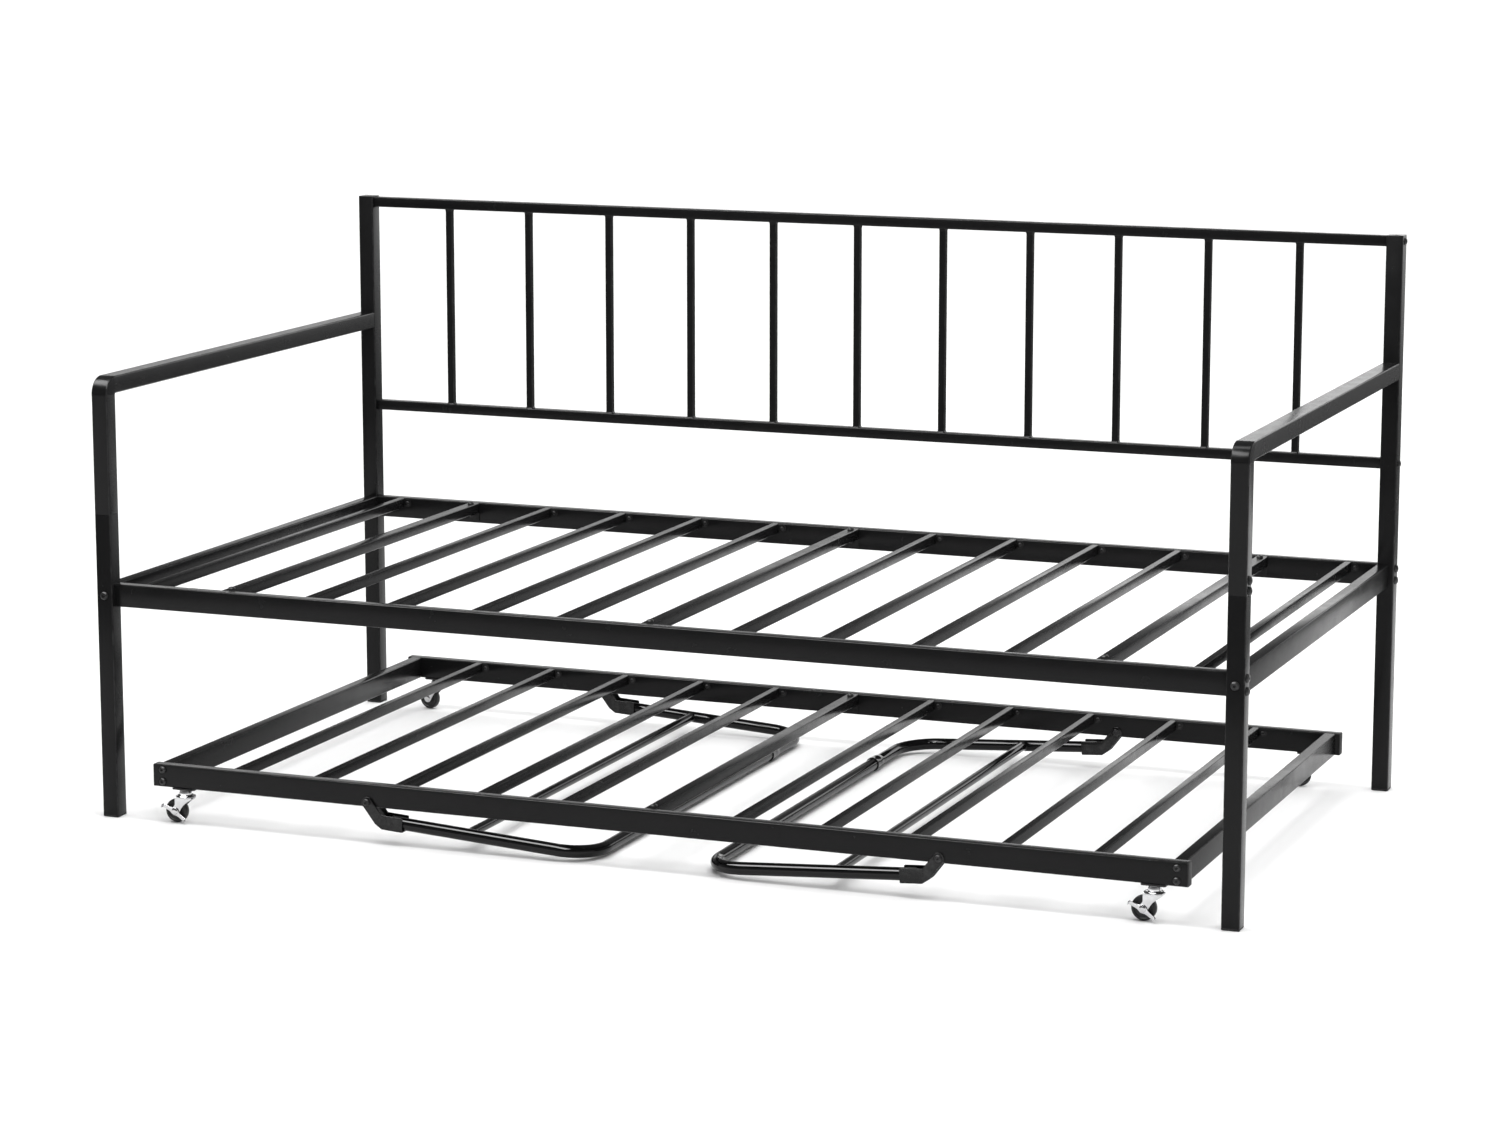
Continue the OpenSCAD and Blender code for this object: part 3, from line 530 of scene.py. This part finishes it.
def slat_brackets(node, body):
    """Flat tabs with a round end, and folded angles under the wider slats."""
    tabs = Shape()
    for low, high in islands(node):
        size = high - low
        side = 1 if low.y > 0 else -1
        if size.y < TAB_DEPTH:
            r = size.z / 2
            outline = [(0, -r), (size.x - r, -r)]
            for i in range(1, 12):
                t = math.pi * i / 12
                outline.append((size.x - r + r * math.sin(t), -r * math.cos(t)))
            outline += [(size.x - r, r), (0, r)]
            seat = Vector((low.x, high.y, (low.z + high.z) / 2))
            tabs.plate(seat, X, Z, outline, size.y, 0.0004)
            continue
        t, turn = 1.5 * MM, 1.6 * MM
        outside, arcs = turn + t, [math.radians(15 * i) for i in range(7)]
        outline = [(0, 0)]
        outline += [(outside * (1 - math.cos(a)), size.z - outside * (1 - math.sin(a))) for a in arcs]
        outline += [(size.y, size.z), (size.y, size.z - t)]
        outline += [(t + turn * (1 - math.sin(a)), size.z - t - turn * (1 - math.cos(a)))
                    for a in arcs]
        outline += [(t, 0)]
        outline = counter_clockwise([(-side * p, q) for p, q in outline])
        seat = Vector((low.x, high.y if side > 0 else low.y, low.z))
        tabs.plate(seat, Y, Z, outline, size.x, 0.0003)
    tabs.object(node + "_skin", "frame_paint", body, [node])


def slat_screws(node, body):
    """Screws through the tabs, and the wider slats' bolts with their nuts."""
    shape = Shape()
    for low, high in islands(node):
        size, middle = high - low, (low + high) / 2
        side = 1 if middle.y > 0 else -1
        if size.z < SCREW_HEIGHT:
            head = 2.2 * MM
            seat = Vector((middle.x, (low.y if side > 0 else high.y) + side * head, middle.z))
            button(shape, seat, Y * -side, 3.5 * MM, head, size.y - head, SMALL_SHANK * MM)
        elif size.z < NUT_HEIGHT:
            nut(shape, Vector((middle.x, middle.y, high.z)), -Z, size.x / 2, size.z)
        else:
            head = 3.5 * MM
            seat = Vector((middle.x, middle.y, high.z - head))
            button(shape, seat, Z, size.x / 2, head, size.z - head, 2.7 * MM)
    shape.object(node + "_skin", "bolt_black", body, [node])


for prefix, body in (("deck", "daybed"), ("trundle", "trundle")):
    slat_brackets(prefix + "_slat_brackets", body)
    slat_screws(prefix + "_slat_screws", body)


# ---------------------------------------------------------------- feet and plugs
def caps(node, axis, body, outer_end):
    """Moulded end caps: a lip outside the tube with softened edges, and a tapered plug inside it."""
    shape = Shape()
    for low, high in islands(node):
        along, a, b = AXES[axis]
        middle = (low + high) / 2
        size = high - low
        length = size.dot(along)
        w, h = size.dot(a), size.dot(b)
        out = along * outer_end(middle)
        lip = (3 if axis == "z" else 2) * MM
        plug = 1.7 * MM
        if out.dot(along) < 0:
            a, b = b, a
            w, h = h, w
        base = middle + out * (length / 2)
        # how far behind the cap's face, and how far in from its side
        steps = [(length, plug + 0.001), (length - 0.003, plug), (lip + 0.0001, plug), (lip, 0.0002),
                 (lip - 0.0003, 0), (0.0012, 0), (0.0004, 0.0003), (0, 0.0012)]
        shape.sweep([(base - out * back, a, b, inset) for back, inset in steps],
                    rounded(w, h, TUBE_ROUND))
    shape.object(node + "_skin", "black_plastic", body, [node])


caps("foot_caps", "z", "daybed", lambda middle: -1)
plugs = islands("trundle_end_plugs")
trundle_middle = sum((low.x + high.x) / 2 for low, high in plugs) / len(plugs)
caps("trundle_end_plugs", "x", "trundle", lambda middle: 1 if middle.x > trundle_middle else -1)

# ---------------------------------------------------------------- trundle tubes
for name, axis in (("trundle_front_rail", "x"), ("trundle_back_rail", "x"),
                   ("trundle_left_rail", "y"), ("trundle_right_rail", "y")):
    bars(name, axis, TUBE_ROUND, "trundle")
bars("trundle_slats", "y", SLAT_ROUND, "trundle")
bars("trundle_centre_slat", "y", SLAT_ROUND, "trundle")


# ---------------------------------------------------------------- folding legs
# Millimetres and degrees in the leg's own frame: x along its arms from the pivots, z up.
# front, back, cross_tube and bell_radius are radii; end is where the brackets stop.
LEG = {"drop": 29.2, "reach": 397, "bend": 62, "front": 10.5, "back": 10.0, "wall": 1.3, "droop": 3.7,
       "start": 42, "cross": 177, "cross_tube": 8.0, "joint": 282, "bell": 18, "taper": 20,
       "bell_radius": 12.1, "spigot": 16, "end": 66}
LEG_BEND_STEPS = 32
# a pivot bolt is longer than this, its nut is shorter
PIVOT_LENGTH = 15 * MM


def pivots(side):
    """Centres of one leg's pivot bolts, front then back."""
    found = [(low + high) / 2 for low, high in islands("leg_pivot_bolts")
             if high.y - low.y > PIVOT_LENGTH]
    return sorted([c for c in found if (c.x < trundle_middle) == (side == "left")], key=lambda c: c.y)


def leg_matrix(side):
    centre = pivots(side)[0]
    centre.y = 0
    mirrored = Matrix.Scale(-1 if side == "right" else 1, 4, X)
    return Matrix.Translation(centre) @ mirrored @ Matrix.Rotation(math.radians(LEG["droop"]), 4, "Y")


# the legs' arms run under the middles of the trundle's long rails
RAIL_HALF = 10
FRONT_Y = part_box("trundle_front_rail")[0].y / MM + RAIL_HALF
BACK_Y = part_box("trundle_back_rail")[1].y / MM - RAIL_HALF


def leg_path(y, towards, r):
    """Arm and bend of a leg tube as points with a radius each, in the leg's frame."""
    reach, bend, drop = LEG["reach"], LEG["bend"], LEG["drop"]
    start, inner = LEG["start"], r - LEG["wall"]
    points = [((start + 9, y, -drop), inner), ((start + 0.2, y, -drop), inner),
              ((start, y, -drop), inner + 0.25), ((start, y, -drop), r - 0.3),
              ((start + 0.25, y, -drop), r), ((start + 60, y, -drop), r),
              ((reach - bend - 3, y, -drop), r)]
    for i in range(LEG_BEND_STEPS + 1):
        a = math.radians(90 * i / LEG_BEND_STEPS)
        x, side_step = reach - bend + bend * math.sin(a), bend * (1 - math.cos(a))
        points.append(((x, y + towards * side_step, -drop), r))
    points.append(((reach, y + towards * (bend + 4), -drop), r))
    return points


def ring_pipe(shape, rows, count=32):
    """Rows of (point, along, radius): rings square to along, joined in order."""
    rings = []
    turns = [math.tau * k / count for k in range(count)]
    for point, along, radius in rows:
        a, b = across(along)
        p = Vector(point) * MM
        points = [p + (a * math.cos(t) + b * math.sin(t)) * radius * MM for t in turns]
        rings.append(shape.ring(points, [0.0] * count))
    shape.skin(rings)


def tube_rows(path, towards):
    """Adds a direction to each point of leg_path."""
    rows = []
    bend_start = LEG["reach"] - LEG["bend"]
    for (x, y, z), r in path:
        if x <= bend_start:
            along = X
        else:
            t = min(1.0, (x - bend_start) / LEG["bend"])
            a = math.asin(t)
            along = X * math.cos(a) + Y * towards * math.sin(a)
        rows.append(((x, y, z), along, r))
    return rows


def foot_rows(direction, steps):
    """Rows along the straight foot tube: steps are (y, radius)."""
    return [((LEG["reach"], y, -LEG["drop"]), direction, radius) for y, radius in steps]


def leg(side):
    body = side + "_folding_leg"
    matrix = leg_matrix(side)
    joint = LEG["joint"]
    # front tube with its plain end
    r = LEG["front"]
    stop = joint + LEG["spigot"]
    rows = tube_rows(leg_path(FRONT_Y, 1, r), 1)
    rows += foot_rows(Y, ((stop - 0.5, r), (stop, r - 0.5), (stop, r - LEG["wall"]),
                          (stop - 12, r - LEG["wall"])))
    shape = Shape(matrix)
    ring_pipe(shape, rows)
    shape.object(side + "_leg_front_tube_skin", "leg_paint", body, [side + "_leg_front_tube"])
    # back tube, swollen into a bell that takes the front tube
    r, bell = LEG["back"], LEG["bell_radius"]
    end, mouth = joint + LEG["bell"], LEG["front"] + 0.12
    taper_steps = 8
    steps = [(end + LEG["taper"] * (1 - i / taper_steps),
              r + (bell - r) * (0.5 - 0.5 * math.cos(math.pi * i / taper_steps)))
             for i in range(taper_steps + 1)]
    steps += [(joint + 1.0, bell), (joint + 0.5, bell + 0.12), (joint + 0.1, bell - 0.1),
              (joint, bell - 0.5), (joint + 0.2, mouth), (end - 0.5, mouth)]
    rows = tube_rows(leg_path(BACK_Y, -1, r), -1)
    rows += foot_rows(-Y, steps)
    shape = Shape(matrix)
    ring_pipe(shape, rows)
    shape.object(side + "_leg_back_tube_skin", "leg_paint", body, [side + "_leg_back_tube"])
    cross_tube(side, matrix, body)
    for end, y in (("front", FRONT_Y), ("back", BACK_Y)):
        bracket(side, end, y, matrix, body)


def cross_tube(side, matrix, body):
    """Tube between the arms, whose ends hug them and swell as a weld does."""
    shape = Shape(matrix)
    c, count = LEG["cross_tube"], 36

    def saddle(base, sign, radius, gap, skirt):
        points = []
        r = LEG["front"] if sign > 0 else LEG["back"]
        for k in range(count):
            t = math.tau * k / count
            px, pz = radius * math.cos(t), radius * math.sin(t)
            hug = math.sqrt(max(r * r - min(abs(pz), r * 0.985) ** 2, 0)) * skirt + r * (1 - skirt)
            points.append(Vector((LEG["cross"] + px, base + sign * (hug + gap), -LEG["drop"] + pz)) * MM)
        return points

    # radius, gap to the arm, and how closely the ring follows the arm's curve
    steps = [(c + 1.9, -0.25, 1.0), (c + 1.5, 0.35, 1.0), (c + 0.75, 1.0, 0.95), (c + 0.25, 2.0, 0.85),
             (c, 3.4, 0.6), (c, 8, 0)]
    rings = []
    for sign, base in ((1, FRONT_Y), (-1, BACK_Y)):
        for radius, gap, skirt in steps[::sign]:
            points = saddle(base, sign, radius, gap, skirt)
            points = [points[0]] + points[:0:-1]
            # a light even edge mask: a little painted highlight mixed with rubbed wear all over the cross tube
            rings.append(shape.ring(points, [0.25] * count))
    shape.skin(rings)
    shape.object(side + "_leg_cross_tube_skin", "leg_paint", body, [side + "_leg_cross_tube"])


def bracket(side, end, y, matrix, body):
    """Pressed elbow bracket: two side plates joined by a web under the tube."""
    shape = Shape(matrix)
    # gap: from the tube's middle to a plate; head: radius of the round end at the pivot
    gap, plate_t, web_t, head, head_steps = 10.6, 2.4, 1.4, 9.5, 20
    top, bottom, stop = LEG["drop"] - 12, LEG["drop"] + 12.0, LEG["end"]
    elbow, notch = (17, -34), (27.7, -top)
    knee, heel, toe = (29, -bottom), (stop, -bottom), (stop, -top)

    def touch(p, s):
        """Angle at which a line from p touches the round head on side s."""
        return math.degrees(math.atan2(p[1], p[0])) + s * math.degrees(math.acos(head / math.hypot(*p)))

    def on_head(degrees):
        a = math.radians(degrees)
        return head * math.cos(a), head * math.sin(a)

    a0, a1 = touch(notch, 1), 360 + touch(elbow, -1)
    outline = [elbow] + soften((elbow, knee, heel), 3)
    outline += soften((knee, heel, toe), 1.5)
    outline += soften((heel, toe, notch), 2.5)
    outline += soften((toe, notch, on_head(a0)), 3)
    outline += [on_head(a0 + (a1 - a0) * i / head_steps) for i in range(head_steps + 1)]
    outline = [(p * MM, q * MM) for p, q in outline]
    # a plate rises along -Y in the leg's x, z plane
    for low in (-gap, gap + plate_t):
        shape.plate(Vector((0, (y + low) * MM, 0)), X, Z, outline, plate_t * MM, 0.0009, 3)
    web = [elbow, knee, heel, (stop, web_t - bottom), (knee[0] + 1, web_t - bottom),
           (elbow[0] + web_t, elbow[1] + web_t)]
    shape.plate(Vector((0, (y + gap + 0.6) * MM, 0)), X, Z, [(p * MM, q * MM) for p, q in web],
                (2 * gap + 1.2) * MM, 0.0002)
    node = "%s_leg_%s_bracket" % (side, end)
    shape.object(node + "_skin", "leg_paint", body, [node])


SOFT_STEPS = 4


def soften(corner, radius):
    """Points of a rounded corner: corner is (before, corner, after)."""
    before, at, after = (Vector(p) for p in corner)
    u, v = (before - at).normalized(), (after - at).normalized()
    half = math.acos(max(-1, min(1, u.dot(v)))) / 2
    cut = min(radius / math.tan(half), (before - at).length * 0.45, (after - at).length * 0.45)
    r = cut * math.tan(half)
    centre = at + (u + v).normalized() * (r / math.sin(half))
    start, stop = at + u * cut - centre, at + v * cut - centre
    turn = start.angle_signed(stop)
    points = []
    for i in range(SOFT_STEPS + 1):
        a = -turn * i / SOFT_STEPS
        points.append((centre.x + start.x * math.cos(a) - start.y * math.sin(a),
                       centre.y + start.x * math.sin(a) + start.y * math.cos(a)))
    return points


leg("left")
leg("right")


def pivot_bolts():
    """Bolts through the rails with domed heads outside, and their nuts inside."""
    shape = Shape()
    for low, high in islands("leg_pivot_bolts"):
        size, middle = high - low, (low + high) / 2
        out = -1 if middle.y < 0 else 1
        outer = Vector((middle.x, low.y if out < 0 else high.y, middle.z))
        if size.y > PIVOT_LENGTH:
            head = 2.8 * MM
            button(shape, outer - Y * (out * head), Y * out, 6 * MM, head, size.y - head, 3.8 * MM)
        else:
            nut(shape, outer, Y * -out, size.x / 2, size.y)
    shape.object("leg_pivot_bolts_skin", "bolt_black", "trundle", ["leg_pivot_bolts"])


pivot_bolts()


# ---------------------------------------------------------------- casters
# Millimetres in each caster's own frame: x towards its wheel, y along its axle, z up from the floor.
WHEEL = {"radius": 20.0, "half": 6.0, "trail": 16.0}
FORK = {"inner": 7.0, "thick": 1.8, "boss": 7.5, "crown_top": 45.1, "crown_half": 12.6, "shoulder": 2.6}
# which casters carry a brake lever
CASTERS = {"front_left": True, "front_right": True, "back_left": False, "back_right": False}


def caster(name, braked):
    swivel = next(j for j in frame["joints"] if j["name"] == name + "_caster_swivel")
    spin = next(j for j in frame["joints"] if j["name"] == name + "_wheel_spin")
    axis = Vector(spin["axis"])
    side = Vector((swivel["pos_m"][0], swivel["pos_m"][1], 0))
    trail = axis.cross(Z)
    matrix = Matrix((trail, axis, Z)).transposed().to_4x4()
    matrix.translation = side
    caster_mount(name, Matrix.Translation(side))
    caster_fork(name, matrix)

    # axle with domed rivet heads; the one on the brake's side sits on the lever
    low = FORK["inner"] + FORK["thick"]
    high = low + (2.4 if braked else 0)
    shape = Shape(matrix)
    c = Vector((WHEEL["trail"], 0, WHEEL["radius"])) * MM
    rows = [(-low - 1.8, 2.2), (-low - 1.5, 4.0), (-low - 0.8, 5.2), (-low - 0.02, 5.6), (-low, 4.0),
            (high, 4.0), (high + 0.02, 5.6), (high + 0.8, 5.2), (high + 1.5, 4.0), (high + 1.8, 2.2)]
    shape.spin(c, Y, [(h * MM, r * MM, 0.4) for h, r in rows], 32)
    shape.object(name + "_caster_axle_skin", "chrome", name + "_swivel", [name + "_caster_axle"])

    wheel(name, matrix, c)
    if braked:
        lever(name, matrix, c)


def caster_mount(name, flat):
    """Mounting plate with two rivets, and the upper race that stays with it."""
    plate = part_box(name + "_caster_plate")
    top = plate[1].z
    w, d = plate[1].x - plate[0].x, plate[1].y - plate[0].y
    thick, rivet_x = 2.8 * MM, 15 * MM
    under = top - thick

    shape = Shape(flat)
    stations = [(under, 0.0006), (under + 0.0002, 0.0002), (under + 0.0006, 0), (top - 0.0001, 0)]
    shape.sweep([(Vector((0, 0, z)), X, Y, inset) for z, inset in stations], rounded(w, d, 3 * MM, 5))
    for sx in (-1, 1):
        button(shape, Vector((sx * rivet_x, 0, under)), -Z, 3.4 * MM, 1.6 * MM)
    shape.object(name + "_caster_plate_skin", "plate_black", "trundle", [name + "_caster_plate"])

    # upper race cup and king pin
    shape = Shape(flat)
    shape.spin(Vector(), Z, [(0.0482, 0.0101, 0.3), (0.0484, 0.0106, 0.6), (0.0494, 0.0108, 0.3),
                             (0.0530, 0.0107, 0.2), (0.0552, 0.0096, 0.2), (under, 0.0092, 0)], 40)
    shape.spin(Vector(), Z, [(0.0424, 0.0030, 0.3), (0.0427, 0.0052, 0.4), (0.0433, 0.0062, 0.4),
                             (0.0441, 0.0064, 0.2), (0.0443, 0.0040, 0), (0.0490, 0.0040, 0)], 32)
    shape.object(name + "_caster_race", "chrome", "trundle")


def caster_fork(name, matrix):
    """Pressed fork: a flanged crown, two legs down to the axle and the shoulders between them."""
    shape = Shape(matrix)
    shape.spin(Vector(), Z, [(0.0450, 0.0118, 0), (0.0450, 0.0156, 0.1), (0.0453, 0.0167, 0.6),
                             (0.0459, 0.0170, 0.6), (0.0465, 0.0167, 0.4), (0.0468, 0.0157, 0.2),
                             (0.0470, 0.0146, 0.1), (0.0476, 0.0140, 0.4), (0.0480, 0.0132, 0.4),
                             (0.0477, 0.0122, 0.2), (0.0472, 0.0112, 0.2),
                             (0.0474, 0.0096, 0.2), (0.0471, 0.0070, 0)], 48)
    boss = Vector((WHEEL["trail"], WHEEL["radius"]))
    fore = [Vector(p) for p in ((-14.2, 45.2), (-15.0, 44.0), (-14.6, 42.2), (-11.0, 39.2), (-4.0, 34.5),
                                (0.8, 30.0), (4.5, 25.0))]
    rear = [Vector(p) for p in ((16.5, 31.0), (16.5, 43.6), (15.9, 44.8), (14.6, 45.2))]

    def touch(p, s):
        """Angle at which a line from p touches the round boss on side s."""
        d = p - boss
        return math.atan2(d.y, d.x) + s * math.acos(FORK["boss"] / d.length)

    a0, a1, steps = touch(fore[-1], 1), touch(rear[0], -1) + math.tau, 20
    turns = [a0 + (a1 - a0) * i / steps for i in range(steps + 1)]
    outline = [tuple(p) for p in fore]
    outline += [tuple(boss + Vector((math.cos(t), math.sin(t))) * FORK["boss"]) for t in turns]
    outline += [tuple(p) for p in rear]
    outline = [(p * MM, q * MM) for p, q in outline]
    # a plate rises along -Y from where it starts
    for start in (-FORK["inner"], FORK["inner"] + FORK["thick"]):
        shape.plate(Vector((0, start * MM, 0)), X, Z, outline, FORK["thick"] * MM, 0.0005, 3)
    # rolled shoulders where each leg turns into the crown
    roll, inside = FORK["shoulder"], FORK["inner"] + 0.2
    for sign in (-1, 1):
        for i in range(4):
            a = math.radians(22.5 * i)
            reach, depth = roll * (1 - math.sin(a)), roll * (1 - math.cos(a))
            y0, z0 = 8.6 + reach * 0.9, FORK["crown_top"] - depth
            half_w = FORK["crown_half"] - 0.18 * depth
            corners = [(-half_w, z0 - 1.2), (half_w + 1.4, z0 - 1.2), (half_w + 1.4, z0), (-half_w, z0)]
            shape.plate(Vector((0, (y0 if sign > 0 else -inside) * MM, 0)), X, Z,
                        [(p * MM, q * MM) for p, q in corners], (y0 - inside) * MM, 0.0003, 1)
    shape.object(name + "_caster_fork_skin", "chrome", name + "_swivel", [name + "_caster_fork"])


def wheel(name, matrix, c):
    """Moulded wheel: crowned tread with a parting line, recessed sides and a hub."""
    half, radius, bore, tread = WHEEL["half"], WHEEL["radius"], 4.06, 19
    # radius and distance from the wheel's middle plane, from the bore out to the parting line
    side = [(bore, half), (7.2, half), (7.8, half - 0.4), (8.2, half - 1.5), (14.4, half - 1.7),
            (15.0, half - 0.5), (15.6, half - 0.1), (17.6, half - 0.2), (19.0, half - 1.0),
            (19.75, half - 2.4), (19.95, half - 4.2), (radius, 0.35), (19.86, 0.12)]
    rows = [(-h, r) for r, h in side] + [(h, r) for r, h in reversed(side)]
    rows = [(rows[0][0] + 2.0, bore)] + rows + [(rows[-1][0] - 2.0, bore)]
    shape = Shape(matrix)
    # the tread gets a stronger edge mask than the sides: lighter there by a painted highlight mixed with rubbed
    # wear
    shape.spin(c, Y, [(h * MM, r * MM, 0.5 if r > tread else 0.15) for h, r in rows], 56)
    shape.object(name + "_wheel_skin", "wheel_plastic", name + "_wheel_body", [name + "_wheel"])


def lever(name, matrix, c):
    """Brake rocker: one pressed strip that widens round the axle and turns outward at both ends."""
    shape = Shape(matrix)
    # inner face of the strip, its thickness, outer radius of its bend and height of its turned end
    inner, t, bend, tab, bend_steps = 9.2, 1.6, 1.8, 7.2, 4
    for tip in (Vector((22, 9)), Vector((-20, -15))):
        length = tip.length
        d = tip.normalized()
        # rows of (place, distance out, angle, width)
        rows = []
        for u, w in ((0.0, 12.0), (0.13, 11.6), (0.24, 9.8), (0.33, 7.6), (0.5, 6.6), (0.8, 6.2)):
            rows.append((d * (length - bend) * u, 0.0, 0.0, w))
        for i in range(bend_steps + 1):
            a = math.radians(90 * i / bend_steps)
            rows.append((d * (length - bend + (bend - t / 2) * math.sin(a)),
                         (bend - t / 2) * (1 - math.cos(a)), a, 6.0))
        for below_tip, w in ((2.2, 5.8), (1.0, 5.0), (0.6, 3.4)):
            rows.append((d * (length - t / 2), tab - below_tip, math.pi / 2, w))
        rings = []
        for p, out, angle, w in rows:
            face = Vector((-d.y, 0, d.x))
            along = Vector((d.x * math.cos(angle), math.sin(angle), d.y * math.cos(angle)))
            thick = face.cross(along)
            centre = c + Vector((p.x, inner + t / 2 + out, p.y)) * MM
            section = rounded(w * MM, t * MM, 0.55 * MM, 3)(0)
            ring = [centre + face * q[0] - thick * q[1] for q in section]
            rings.append(shape.ring(list(reversed(ring)), [q[2] for q in reversed(section)]))
        shape.skin(rings)
    shape.object(name + "_brake_lever_skin", "chrome", name + "_brake", [name + "_brake_lever"])


for caster_name, has_brake in CASTERS.items():
    caster(caster_name, has_brake)

# ---------------------------------------------------------------- finish of CAD nodes with no skin
FINISH_OF = {p["node"]: p["material_slot"] for p in frame["record"]["subparts"]}
for node_name, node_object in frame["nodes"].items():
    if not node_object.hide_render:
        node_object.data.materials.clear()
        node_object.data.materials.append(FINISH[FINISH_OF[node_name]])

# ---------------------------------------------------------------- floor and light
floor_look = Nodes("floor_paper")
floor_look.link("Base Color", floor_look.mix(floor_look.noise(3, 3, 0.5), colour(0.93), colour(0.95)))
floor_look.shader.inputs["Roughness"].default_value = 0.9
floor_look.shader.inputs["Specular IOR Level"].default_value = 0.1


def floor(name, low, high, level, glossy):
    """A flat sheet of the floor; only the near one shows in the paint's reflections."""
    mesh = bpy.data.meshes.new(name)
    corners = [(low[0], low[1], 0), (high[0], low[1], 0), (high[0], high[1], 0), (low[0], high[1], 0)]
    mesh.from_pydata(corners, [], [(0, 1, 2, 3)])
    mesh.materials.append(floor_look.material)
    sheet = bpy.data.objects.new(name, mesh)
    sheet.location.z = level
    sheet.visible_glossy = glossy
    scene.collection.objects.link(sheet)


floor("near_floor", (-2.6, -3.0), (3.0, 2.3), -0.0004, True)
floor("far_floor", (-90, -90), (90, 90), -0.0008, False)

# the world's light is a soft gradient by direction: brighter behind, dimmer overhead and below
world = bpy.data.worlds.new("studio")
world.use_nodes = True
sky = world.node_tree
around = sky.nodes.new("ShaderNodeTexCoord").outputs["Generated"]
parts = sky.nodes.new("ShaderNodeSeparateXYZ")
sky.links.new(around, parts.inputs[0])


def sky_range(source, start, stop, low, high):
    found = sky.nodes.new("ShaderNodeMapRange")
    found.interpolation_type = "SMOOTHSTEP"
    sky.links.new(source, found.inputs["Value"])
    for key, value in (("From Min", start), ("From Max", stop), ("To Min", low), ("To Max", high)):
        found.inputs[key].default_value = value
    return found.outputs["Result"]


def sky_maths(operation, a, b):
    found = sky.nodes.new("ShaderNodeMath")
    found.operation = operation
    sky.links.new(a, found.inputs[0])
    sky.links.new(b, found.inputs[1])
    return found.outputs[0]


behind = sky_range(parts.outputs["Y"], -0.7, 0.9, 0.35, 1.0)
overhead = sky_range(parts.outputs["Z"], 0.2, 0.4, 1.0, 0.22)
sideways = sky_range(parts.outputs["X"], -0.9, 0.9, 0.85, 1.15)
below = sky_range(parts.outputs["Z"], -0.12, 0.02, 0.22, 1.0)
strength = sky_maths("MULTIPLY", sky_maths("MULTIPLY", behind, overhead),
                     sky_maths("MULTIPLY", sideways, below))
sky.links.new(strength, sky.nodes["Background"].inputs["Strength"])
sky.nodes["Background"].inputs["Color"].default_value = (1, 1, 1, 1)
scene.world = world


def panel(name, place, aim, wide, high, radiance, diffuse=True):
    """A soft rectangular light of the given radiance; without diffuse it shows in reflections only."""
    light = bpy.data.lights.new(name, "AREA")
    light.shape = "RECTANGLE"
    light.size, light.size_y = wide, high
    light.energy = radiance * math.pi * wide * high
    lamp = bpy.data.objects.new(name, light)
    lamp.location = place
    lamp.rotation_euler = (Vector(aim) - Vector(place)).to_track_quat("-Z", "Y").to_euler()
    lamp.visible_camera = False
    lamp.visible_diffuse = diffuse
    scene.collection.objects.link(lamp)


panel("overhead_strip", (0.0, -0.6, 3.1), (0.0, -0.6, 0.0), 2.6, 0.6, 8.0)
panel("back_wall", (1.3, 6.5, 1.7), (0.8, 0.0, 0.6), 6.0, 1.4, 1.1)
panel("front_softbox", (-1.2, -1.75, 3.0), (-0.3, -0.5, 0.3), 4.6, 1.2, 20.0, diffuse=False)
sun = bpy.data.lights.new("soft_fill", "SUN")
sun.energy = 3.6
sun.angle = math.radians(110)
sun_lamp = bpy.data.objects.new("soft_fill", sun)
sun_lamp.rotation_euler = (math.radians(-12), math.radians(12), 0)
sun_lamp.visible_glossy = False
scene.collection.objects.link(sun_lamp)
